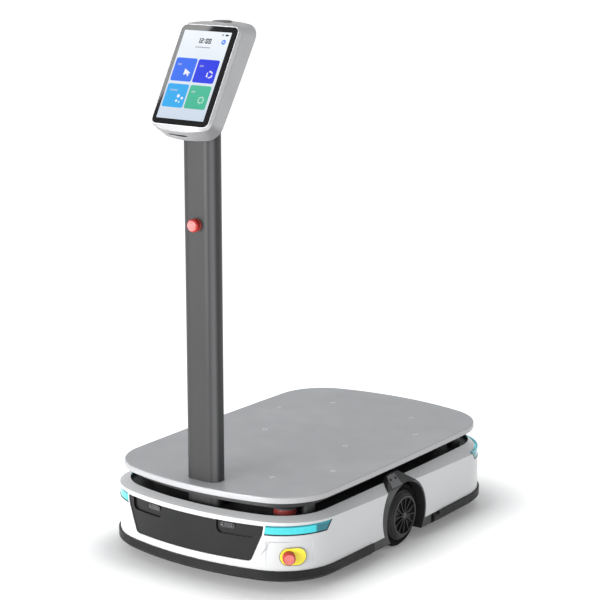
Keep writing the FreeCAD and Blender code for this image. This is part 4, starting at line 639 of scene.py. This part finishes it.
def on_screen(name, outlines, centre, layer, material):
    """Thin lit shapes on the display, placed in millimetres from the screen's middle."""
    points, faces = [], []
    for outline in outlines:
        faces.append(list(range(len(points), len(points) + len(outline))))
        points += [screen_frame @ (Vector((centre[0] + x, centre[1] + y, LAYER_STEP * layer)) * MM)
                   for x, y in outline]
    return fitted(mesh_piece(name, points, faces, material), "base")


FIGURE_WIDTH, FIGURE_HEIGHT, FIGURE_STROKE = 7.2, 12.5, 2.6
FIGURE_BARS = {"0": ("top", "bottom", "high_left", "high_right", "low_left", "low_right"),
               "1": ("high_right", "low_right"),
               "2": ("top", "high_right", "middle", "low_left", "bottom")}
CLOCK_FIGURES = (("1", -16.0), ("2", -7.2), ("0", 7.2), ("0", 16.0))
CLOCK_DOTS = (2.9, -2.9)
GEAR_TEETH, GEAR_RIM = 8, 2.2


def digit(figure):
    """Plain seven-bar figure as a list of rounded bars."""
    long_bar = rounded(FIGURE_WIDTH, FIGURE_STROKE, 0.5, 3)
    tall_bar = rounded(FIGURE_STROKE, FIGURE_HEIGHT / 2 + 0.6, 0.5, 3)
    reach_x, reach_y = (FIGURE_WIDTH - FIGURE_STROKE) / 2, (FIGURE_HEIGHT - FIGURE_STROKE) / 2
    bars = {"top": moved(long_bar, 0, reach_y), "middle": moved(long_bar, 0, 0),
            "bottom": moved(long_bar, 0, -reach_y)}
    for side, sign in SIDED:
        bars[f"high_{side}"] = moved(tall_bar, sign * reach_x, FIGURE_HEIGHT / 4)
        bars[f"low_{side}"] = moved(tall_bar, sign * reach_x, -FIGURE_HEIGHT / 4)
    return [bars[part] for part in FIGURE_BARS[figure]]


def clock():
    """The time, as four figures with two dots between them."""
    shapes = [moved(bar, x, 0) for figure, x in CLOCK_FIGURES for bar in digit(figure)]
    return shapes + [moved(disc(1.6, 12), 0, y) for y in CLOCK_DOTS]


def gear(radius):
    """Toothed ring, in two halves."""
    tooth, shapes = rounded(2.4, 4.0, 0.4, 2), []
    for number in range(GEAR_TEETH):
        turn = 360 * number / GEAR_TEETH
        x, y = moved([(radius, 0)], 0, 0, turn)[0]
        shapes.append(moved(tooth, x, y, turn + 90))
    return shapes + [band(radius, radius - GEAR_RIM, start, start + 180) for start in (0, 180)]


DISPLAY_SIZE, DISPLAY_MIDDLE = (139, 224), (-3, 0)
BAR_PITCH, BAR_FIRST, BAR_COUNT = 6.2, -18.6, 7
subtitle = [moved(rounded(5.2, 2.6, 0.4, 3), BAR_PITCH * number + BAR_FIRST, 0)
            for number in range(BAR_COUNT)]
signal = [band(4.6, 3.3, 45, 135), band(2.5, 1.3, 45, 135), moved(disc(0.8, 10), 0, 0.2)]
battery = [rounded(8.4, 4.4, 0.8, 3), moved(rounded(1.0, 2.0, 0.3, 2), 5.0, 0)]
round_mark = [rounded(4.2, 3.4, 1.0, 3), moved(rounded(1.2, 1.6, 0.3, 2), 2.6, 0)]
white_glow = glow("ui_white", (0.95, 0.95, 0.96))
ink = glow("ui_ink", (0.012, 0.014, 0.02))
background_glow = glow("ui_background", (0.90, 0.945, 0.99), second=(0.58, 0.67, 0.79))
on_screen("ui_background", [rounded(*DISPLAY_SIZE, 1.5)], DISPLAY_MIDDLE, 1, background_glow)
on_screen("ui_clock", clock(), (-5, 87), 2, ink)
on_screen("ui_subtitle", subtitle, (-4.6, 70.5), 2, glow("ui_subtitle", (0.28, 0.30, 0.34)))
on_screen("ui_signal", signal, (43, 102), 2, ink)
on_screen("ui_battery", battery, (54.7, 104.5), 2, ink)
on_screen("ui_round", [disc(6.2, 32)], (51, 87), 2, glow("ui_round", (0.05, 0.25, 0.95)))
on_screen("ui_round_mark", round_mark, (50.6, 87), 3, white_glow)

DART = [[(-34.4, 15.0), (-15.5, 4.6), (-26.0, 1.8)], [(-34.4, 15.0), (-26.0, 1.8), (-34.8, -1.6)],
        [(-26.0, 1.8), (-18.5, 2.2), (-21.3, -5.7)]]
LOOP_MIDDLE, LOOP_STARTS, LOOP_SWEEP = (41, 4), (20, 140, 260), 66
LOOP_TIP = [(4.4, 0), (10.8, 0), (7.6, 4.6)]
LOOP = ([moved(band(9.0, 6.2, start, start + LOOP_SWEEP), *LOOP_MIDDLE) for start in LOOP_STARTS]
        + [moved(LOOP_TIP, *LOOP_MIDDLE, start + LOOP_SWEEP) for start in LOOP_STARTS])
DOTS = [moved(disc(4.2, 24), -28.3, -54.5), moved(disc(3.4, 20), -16.3, -59.4),
        moved(disc(3.0, 20), -30.3, -66.9), moved(disc(2.2, 16), -21.7, -69.2)]
GEAR = [moved(shape, 40, -60.4) for shape in gear(8.0)]
TILE = rounded(62, 59, 5)
MARK, MARK_PITCH = rounded(4.8, 4.4, 0.5, 3), 5.8
# per tile: its middle, upper and lower colour, the middle and count of the marks that stand
# for its words, its icon, and how pale the icon is
TILES = {
    "send": ((-37.5, 12.0), (0.03, 0.13, 0.92), (0.04, 0.19, 0.85), (-54.5, 24.5), 2, DART, 0.9),
    "loop": ((28.0, 11.5), (0.01, 0.02, 0.72), (0.03, 0.07, 0.85), (10.5, 24.0), 2, LOOP, 0.9),
    "tasks": ((-37.5, -54.0), (0.02, 0.36, 0.88), (0.03, 0.42, 0.84), (-47.0, -40.7), 4, DOTS,
              0.9),
    "settings": ((28.5, -54.0), (0.09, 0.62, 0.38), (0.05, 0.44, 0.28), (11.0, -41.0), 2, GEAR,
                 0.45),
}
for name, (middle, upper, lower, label, count, icon, pale) in TILES.items():
    on_screen(f"ui_tile_{name}", [TILE], middle, 2, glow(f"ui_tile_{name}", upper, second=lower))
    first = -MARK_PITCH / 2 * (count - 1)
    marks = [moved(MARK, first + MARK_PITCH * number, 0) for number in range(count)]
    label_color = tuple(0.35 + 0.5 * channel for channel in upper)
    on_screen(f"ui_label_{name}", marks, label, 3, glow(f"ui_label_{name}", label_color))
    icon_color = tuple(pale + (1 - pale) * channel for channel in upper)
    on_screen(f"ui_icon_{name}", icon, (0, 0), 3, glow(f"ui_icon_{name}", icon_color))

# ---------------------------------------------------------------- small fitted pieces

highlight_lip = moulded("highlight_lip", (0.78, 0.78, 0.79), 0.3)
black_oxide = brushed("black_oxide", (0.06, 0.06, 0.062), 0.35, "Z")
bright_zinc = brushed("bright_zinc", (0.86, 0.87, 0.88), 0.35, "Z", metallic=0.2)
lens_glass = moulded("lens_glass", (0.004, 0.004, 0.006), 0.05, coat=1.0)
trim_grey = moulded("trim_grey", (0.20, 0.20, 0.205), 0.45)

# stop buttons: dished pink-red face with three turning arrows
BASE_STOP_ANGLE = math.radians(-48.8)       # its heading, out of the front right corner
STOPS = {"mast_stop": Vector((0, -1, 0)),
         "base_stop": Vector((math.cos(BASE_STOP_ANGLE), math.sin(BASE_STOP_ANGLE), 0))}
STOP_FACE = [(12.2, -2.0), (12.2, 0.3), (11.6, 0.5), (10.4, 0.35), (4.0, 0.15), (0.3, 0.12)]
ARROW_TURNS, ARROW_END = (90, 210, 330), 14
ARROW_PARTS = (("arrow", band(8.6, 7.0, -38, ARROW_END, 6), 0),
               ("tip", [(5.6, 0), (10.0, 0), (7.8, 3.4)], ARROW_END))
ARROW_THICKNESS, ARROW_BEVEL, ARROW_LIFT = 0.3, 0.1, 0.1
face_red = moulded("stop_face_red", (0.66, 0.16, 0.15), 0.35, coat=0.3)
arrow_red = moulded("stop_arrow_red", (0.56, 0.12, 0.11), 0.5)
for name, outward in STOPS.items():
    button = facing(f"{name}_button", outward)
    fitted(turned(f"{name}_face", STOP_FACE, button, face_red), f"{name}_button")
    for turn in ARROW_TURNS:
        for part, outline, ahead in ARROW_PARTS:
            place = shifted(button, z=ARROW_LIFT, turn=turn + ahead)
            mark = plate(f"{name}_{part}_{turn}", outline, ARROW_THICKNESS, place, arrow_red,
                         ARROW_BEVEL)
            fitted(mark, f"{name}_button")

TRIM_RADIUS = 1.0
fitted(bead("stop_plate_trim", creases("base_stop_plate", faces_out(STOPS["base_stop"])),
            TRIM_RADIUS, trim_grey), "base")

# light strips: dark beads on their outer edges, a painted shadow in the gap along each strip's foot
# and a dark outline up its cut side end
FOOT_BAND, TOP_BAND, SIDE_END = 0.002, 0.001, 0.020
STRIP_EDGE_RADIUS = 1.5


def lower_edge(middle, normals):
    """Outer edges of a light strip along its foot and up its slanting side end."""
    away = Vector((middle.x, middle.y, 0)).normalized()
    foot = middle.z < strip_low[2] + FOOT_BAND
    side_end = abs(middle.y) < strip_end + SIDE_END and middle.z < strip_high[2] - TOP_BAND
    return (foot or side_end) and any(normal.dot(away) > STRIP_SHARE for normal in normals)


# dark bead colour: painted shadow under each strip, dark outline at its side end
strip_edge = moulded("strip_edge", (0.004, 0.010, 0.012), 0.3)
for end in ("front", "rear"):
    fitted(bead(f"{end}_strip_edges", creases(f"{end}_light_strips", lower_edge),
                STRIP_EDGE_RADIUS, strip_edge), "base")

# depth cameras: two lenses on each bar
LENS = [(3.6, -1.0), (3.6, 0.5), (3.1, 0.9), (2.6, 0.5), (0.3, 0.25)]
LENS_SHIFTS = (-12.5, 12.5)     # millimetres from the middle of a bar
LENS_SINK = 0.0008
BAR_INSET, BAR_REACH = 0.020, 0.009
camera_low, camera_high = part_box("depth_cameras")
camera_level = (camera_low[2] + camera_high[2]) / 2
for side in (1, -1):
    for shift in LENS_SHIFTS:
        x = side * (camera_high[0] - BAR_INSET) + shift * MM
        front = min(vertex.co.y for vertex in bpy.data.objects["depth_cameras"].data.vertices
                    if abs(vertex.co.x - x) < BAR_REACH)
        spot = (Matrix.Translation((x, front + LENS_SINK, camera_level))
                @ Matrix.Rotation(math.pi / 2, 4, "X"))
        lens_name = f"camera_lens_{side}_{shift:.0f}".replace("-", "m")
        fitted(turned(lens_name, LENS, spot, lens_glass, steps=32), "base")

# head: a pale lip round the glass as a painted highlight, and screws on the back
GLASS_SINK = 0.0008         # metres below the glass where the bezel's inner rim ends


def beside_glass(middle, normals):
    """Picks the bezel's edges that lie beside the cover glass."""
    level = (screen_frame.inverted() @ middle).z
    return level > -GLASS_SINK and faces_out(screen_out)(middle, normals)


# the pale bead along the glass's edge is a painted highlight
LIP_RADIUS = 0.5
fitted(bead("bezel_lip", creases("head_bezel", beside_glass), LIP_RADIUS, highlight_lip),
       "base")
HEAD_SCREW = (3.2, 1.6)
HEAD_SCREW_ACROSS, HEAD_SCREW_LEVELS, BEHIND_HEAD = 64, (84, -92), -300
head_skin = skin("head_shell")
for side in (1, -1):
    for level in HEAD_SCREW_LEVELS:
        start = screen_frame @ (Vector((side * HEAD_SCREW_ACROSS, level, BEHIND_HEAD)) * MM)
        fitted(socket_screw(f"head_screw_{side + 1}_{level + 100}",
                            seat(head_skin, start, screen_out), HEAD_SCREW, black_oxide),
               "base")

# rear bumper: end caps that carry its section on to the wheel arches
BUMPER_CHAMFER = 0.0085
BUMPER_DEPTH = 0.017
CAP_GAP = 0.005             # between a cap and the arch, more than the bumper's travel
CAP_OVERLAP = 0.0005
CAP_RIM = 0.0012
bumper_box_low, bumper_box_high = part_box("rear_bumper")
arch_low, arch_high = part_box("wheel_arch_right")


def prism(name, section, start, end, material):
    """Straight bar of one (x, z) section between two Y places, in metres."""
    count = len(section)
    points = [(x, start, z) for x, z in section] + [(x, end, z) for x, z in section]
    faces = [(k, (k + 1) % count, count + (k + 1) % count, count + k) for k in range(count)]
    faces += [list(reversed(range(count))), [count + k for k in range(count)]]
    item = mesh_piece(name, points, faces, material)
    rim = item.modifiers.new("rim", "BEVEL")
    rim.width, rim.segments = CAP_RIM, 2
    return item


for side, sign in SIDED:
    outer, foot, head = bumper_box_high[0], bumper_box_low[2], bumper_box_high[2]
    inner, ch = outer - BUMPER_DEPTH, BUMPER_CHAMFER
    section = [(inner, foot), (outer - ch, foot), (outer, foot + ch), (outer, head - ch),
               (outer - ch, head), (inner, head)]
    section = [(sign * x, z) for x, z in section[::sign]]
    cap = prism(f"rear_bumper_cap_{side}", section, arch_high[1] + CAP_GAP,
                bumper_box_low[1] + CAP_OVERLAP, bumper_rubber)
    fitted(cap, "rear_bumper")

# deck: bright washers round the threaded inserts
WASHER = [(6.5, -0.6), (6.5, 0.15), (6.1, 0.3), (4.4, 0.3), (4.2, 0.1), (4.2, -0.6)]
INSERT_TOP, INSERT_REACH = 0.0015, 0.03
deck_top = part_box("load_deck")[1][2]
tops = [v.co for v in bpy.data.objects["deck_inserts"].data.vertices
        if v.co.z > deck_top - INSERT_TOP]
inserts = []
for point in tops:
    near = [group for group in inserts if (group[0] - point).length < INSERT_REACH]
    if near:
        near[0].append(point)
    else:
        inserts.append([point])
for number, group in enumerate(inserts):
    middle = Vector(((min(p.x for p in group) + max(p.x for p in group)) / 2,
                     (min(p.y for p in group) + max(p.y for p in group)) / 2, deck_top))
    fitted(turned(f"insert_washer_{number}", WASHER, Matrix.Translation(middle), bright_zinc,
                  steps=32, open_bore=True), "base")

# soft crease of the front shell beside the panel and under each light strip
CORNER_RADIUS = 0.13
CAST_FROM = 0.4             # metres out from a corner's middle, well outside the shell
PANEL_FOOT = 0.008          # height of the slice that gives the panel's width at its foot
CREASE_GAP, CREASE_DROP, CREASE_BEND, CREASE_FOOT = 0.016, 0.017, 0.012, 0.014
CREASE_RUN, RISE_STEPS, BEND_STEP, RUN_STEPS = 0.085, 12, 15, 20
CREASE_RADIUS, CREASE_SINK = 3.0, 2.4       # millimetres: most of the bead lies in the shell
END_SINK, FOOT_FADE, RUN_FADE = 0.7, 6, 12  # both ends sink deeper over these counts of points
shell_tree = skin("front_shell")
shell_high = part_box("front_shell")[1]
panel_low, panel_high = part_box("front_panel")
corner_x = shell_high[0] - CORNER_RADIUS
corner_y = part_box("front_shell")[0][1] + CORNER_RADIUS


def on_shell(run, level, sign, sunk):
    """Point on the shell's skin: run counts from the corner's start, along front, corner, side."""
    turn = min(max(run / CORNER_RADIUS, 0.0), math.pi / 2)
    outward = Vector((math.sin(turn) * sign, -math.cos(turn), 0))
    centre = Vector(((corner_x + min(run, 0.0)) * sign, corner_y, level))
    return shell_tree.ray_cast(centre + outward * CAST_FROM, -outward)[0] - outward * sunk * MM


def crease_track():
    """(run, level) points: up beside the panel's slanting edge, round a bend, along the strip."""
    foot_x = max(v.co.x for v in bpy.data.objects["front_panel"].data.vertices
                 if v.co.z < panel_low[2] + PANEL_FOOT)
    lean = (panel_high[0] - foot_x) / (strip_low[2] - panel_low[2])
    foot_level = panel_low[2] + CREASE_FOOT
    foot_run = foot_x + lean * (foot_level - panel_low[2]) + CREASE_GAP - corner_x
    knee_run, knee_level = panel_high[0] + CREASE_GAP - corner_x, strip_low[2] - CREASE_DROP
    bend_level = knee_level - CREASE_BEND
    track = [(foot_run + (knee_run - foot_run) * k / RISE_STEPS,
              foot_level + (bend_level - foot_level) * k / RISE_STEPS)
             for k in range(RISE_STEPS + 1)]
    for angle in range(BEND_STEP, 91, BEND_STEP):
        turn = math.radians(angle)
        track.append((knee_run + CREASE_BEND * (1 - math.cos(turn)),
                      bend_level + CREASE_BEND * math.sin(turn)))
    start_run = track[-1][0]
    return track + [(start_run + CREASE_RUN * k / RUN_STEPS, knee_level)
                    for k in range(1, RUN_STEPS + 1)]


# the bead is greyer than the shell, a painted shade along the crease
shell_shade = moulded("shell_shade", (0.40, 0.40, 0.405), 0.5)
for side, sign in SIDED:
    track = crease_track()
    last = len(track) - 1
    spots = [on_shell(run, level, sign,
                      CREASE_SINK + END_SINK * max(0, 1 - k / FOOT_FADE, 1 - (last - k) / RUN_FADE))
             for k, (run, level) in enumerate(track)]
    fitted(bead(f"shell_crease_{side}", [spots], CREASE_RADIUS, shell_shade, sides=10),
           "base")

# wheel arches: dark silver bracket plates on their top slope
BRACKET = [(-23, -17), (23, -17), (17, 18), (-17, 18)]
BRACKET_THICKNESS, BRACKET_BEVEL, BRACKET_SLOPE = 0.9, 0.5, (0.767, 0.641)
BRACKET_INSET = (0.0130, 0.1095, 0.0157)    # metres in from the arch's side, front and top
BRACKET_SCREW, SCREW_ALONG, SCREW_UP, SCREW_LIFT = (3.4, 1.8), 11, 5, 0.8
bracket_silver = brushed("bracket_silver", (0.17, 0.17, 0.175), 0.4, "Y", metallic=0.4)
for side, sign in SIDED:
    along = Vector((0, sign, 0))
    slope = Vector((BRACKET_SLOPE[0] * sign, 0, BRACKET_SLOPE[1])).normalized()
    spot = Vector(((arch_high[0] - BRACKET_INSET[0]) * sign, arch_low[1] + BRACKET_INSET[1],
                   arch_high[2] - BRACKET_INSET[2]))
    place = axes_at(spot, along, slope.cross(along), slope)
    fitted(plate(f"arch_bracket_{side}", BRACKET, BRACKET_THICKNESS, place, bracket_silver,
                 BRACKET_BEVEL), "base")
    for shift in (-SCREW_ALONG, SCREW_ALONG):
        spot = shifted(place, shift, SCREW_UP, SCREW_LIFT)
        fitted(socket_screw(f"arch_screw_{side}_{shift + SCREW_ALONG}", spot, BRACKET_SCREW,
                            black_oxide), "base")

# drive wheels: centre cap, rings, cover screws and sidewall ribs
HUB_CENTRE_SINK = -1.0
HUB_CENTRE = [(7.0, -2.0), (7.0, 0.1), (6.4, 0.4), (3.4, 0.4), (3.0, -0.3), (0.4, -0.3)]
HUB_RING = [(51.2, -1.6), (50.4, -0.1), (48.9, -0.1), (48.2, -1.6)]
HUB_RIM = [(0.8, -1.2), (0.8, 0.0), (0.0, 0.5), (-0.7, 0.3), (-0.7, -1.2)]
HUB_RIMS = ((54.2, -4.6), (63.6, -12.6))
TYRE_RIB = [(1.0, -0.8), (0.5, 0.8), (-0.5, 0.8), (-1.0, -0.8)]
TYRE_RIBS = (68.5, 72.5, 76.5)
HUB_SCREW, HUB_SCREW_CIRCLE, HUB_SCREW_SINK = (2.4, 1.4), 58.5, -9.2


def ring(name, profile, radius, height, place, material):
    """Fine closed ring on a wheel, from a profile about one radius and height."""
    around = [(radius + out, height + up) for out, up in profile]
    return turned(name, around, place, material, steps=96, open_bore=True)


hub_ring = moulded("hub_ring_plastic", (0.030, 0.030, 0.032), 0.35, coat=0.1)
for side, sign in SIDED:
    hub = facing(f"hub_cap_{side}", (sign, 0, 0))
    wheel = f"drive_wheel_{side}"
    fitted(turned(f"hub_centre_{side}", HUB_CENTRE, shifted(hub, z=HUB_CENTRE_SINK), hub_ring),
           wheel)
    fitted(ring(f"hub_ring_{side}", HUB_RING, 0, 0, hub, hub_ring), wheel)
    for radius, height in HUB_RIMS:
        fitted(ring(f"hub_rim_{side}_{radius:.0f}", HUB_RIM, radius, height, hub, hub_ring),
               wheel)
    for turn in range(0, 360, 60):
        place = shifted(shifted(hub, turn=turn), x=HUB_SCREW_CIRCLE, z=HUB_SCREW_SINK)
        fitted(socket_screw(f"hub_screw_{side}_{turn}", place, HUB_SCREW, black_oxide),
               wheel)
    tyre_face = facing(f"tyre_{side}", (sign, 0, 0))
    for radius in TYRE_RIBS:
        fitted(ring(f"tyre_rib_{side}_{radius:.0f}", TYRE_RIB, radius, 0, tyre_face, tyre_rubber),
               wheel)

# ---------------------------------------------------------------- stage, light and camera

FLOOR_REACH = 60
NEAR_GLOW, FAR_GLOW, GLOW_REACH = 0.12, 0.62, 0.15


def studio_floor():
    """Pale floor that glows, as painted light: low round the robot's outline, which paints shade
    there, and rising away from it so it runs out into white.
    """
    finish = Finish("studio_floor", (0.90, 0.90, 0.90), 0.7, specular=0.2)
    finish.vary_color((0.89, 0.89, 0.89), 1.5)
    finish.vary_roughness(0.03, 3)
    low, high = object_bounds()
    inset = (high[0] - CORNER_RADIUS, -low[1] - CORNER_RADIUS, 0)
    away = finish.place
    for operation, other in (("ABSOLUTE", None), ("SUBTRACT", inset),
                             ("MAXIMUM", (0, 0, 0)), ("LENGTH", None)):
        inputs = {0: away, 1: other} if other else {0: away}
        step = finish.add("ShaderNodeVectorMath", inputs, operation=operation)
        away = step.outputs["Value" if operation == "LENGTH" else "Vector"]
    finish.set("Emission Color", (1, 1, 1))
    # the glow stays low near the robot, a painted shade round its outline
    strength = finish.between(away, CORNER_RADIUS, CORNER_RADIUS + GLOW_REACH, NEAR_GLOW, FAR_GLOW)
    finish.set("Emission Strength", strength)
    corners = [(x * FLOOR_REACH, y * FLOOR_REACH, 0)
               for x, y in ((-1, -1), (1, -1), (1, 1), (-1, 1))]
    return mesh_piece("studio_floor", corners, [[0, 1, 2, 3]], finish.material)


studio_floor()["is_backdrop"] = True

# sky that fades upwards
scene.view_settings.view_transform = "Standard"
world = bpy.data.worlds.new("studio")
scene.world = world
world.use_nodes = True
sky = world.node_tree
direction = sky.nodes.new("ShaderNodeTexCoord")
split_sky = sky.nodes.new("ShaderNodeSeparateXYZ")
fade = sky.nodes.new("ShaderNodeMapRange")
for socket, value in (("From Min", 0.0), ("From Max", 0.8), ("To Min", 1.0), ("To Max", 0.35)):
    fade.inputs[socket].default_value = value
sky.links.new(direction.outputs["Generated"], split_sky.inputs["Vector"])
sky.links.new(split_sky.outputs["Z"], fade.inputs["Value"])
sky.links.new(fade.outputs["Result"], sky.nodes["Background"].inputs["Strength"])
sky.nodes["Background"].inputs["Color"].default_value = (0.98, 0.99, 1.0, 1)


def softbox(name, place, aim, size, power):
    """Rectangular lamp at a place, turned to face its aim."""
    lamp = bpy.data.lights.new(name, "AREA")
    lamp.shape = "RECTANGLE"
    lamp.size, lamp.size_y = size
    lamp.energy = power
    item = bpy.data.objects.new(name, lamp)
    item.location = place
    item.rotation_euler = (Vector(aim) - Vector(place)).to_track_quat("-Z", "Y").to_euler()
    scene.collection.objects.link(item)
    return item


# name, place, aim, size in metres, power in watts
LAMPS = (("key_front", (-0.9, -4.2, 0.75), (0, 0, 0.45), (2.6, 1.2), 170),
         ("top_fill", (0.2, 0.6, 4.0), (0, 0, 0), (3.5, 3.5), 24))
for lamp_settings in LAMPS:
    softbox(*lamp_settings)

# the photograph's view
CAMERA_PLACE, CAMERA_PITCH, CAMERA_HEADING = (2.8851, -4.0423, 1.7454), 76.707, 35.475
FOCAL_LENGTH, SENSOR_WIDTH, SHIFT = 119.29, 36, (-0.00979, 0.01894)
camera = bpy.data.cameras.new("photo_view")
camera.lens = FOCAL_LENGTH
camera.sensor_width = SENSOR_WIDTH
camera.shift_x, camera.shift_y = SHIFT
camera_item = bpy.data.objects.new("photo_view", camera)
camera_item.location = CAMERA_PLACE
camera_item.rotation_euler = (math.radians(CAMERA_PITCH), 0, math.radians(CAMERA_HEADING))
scene.collection.objects.link(camera_item)
scene.camera = camera_item

# a small card that the cover glass mirrors on its upper left, with a slanting edge
CARD_REACH = 2.9
CARD_SIZE, CARD_POWER = (0.30, 0.50), 4.6
EDGE_TOP, EDGE_LOW, CARD_CORNER = (0, 120), (-78, -60), (-78, 120)


def mirrored(across, upward):
    """Where the glass sends the camera's view of a spot on it, in millimetres from its middle."""
    spot = screen_frame @ (Vector((across, upward, 0)) * MM)
    sight = (spot - camera_item.location).normalized()
    return spot + sight.reflect(screen_out) * CARD_REACH


edge_top, edge_low, inside = mirrored(*EDGE_TOP), mirrored(*EDGE_LOW), mirrored(*CARD_CORNER)
edge_middle = (edge_top + edge_low) / 2
card_up = (edge_top - edge_low).normalized()
card_out = (edge_middle - screen_frame.translation).normalized()
card_out = (card_out - card_up * card_out.dot(card_up)).normalized()
card_side = card_up.cross(card_out)
if (inside - edge_top).dot(card_side) < 0:
    card_up, card_side = -card_up, -card_side
card_middle = edge_middle + card_side * (CARD_SIZE[0] / 2)
card = softbox("glass_card", card_middle, screen_frame.translation, CARD_SIZE, CARD_POWER)
card.matrix_world = axes_at(card_middle, card_side, card_up, card_out)
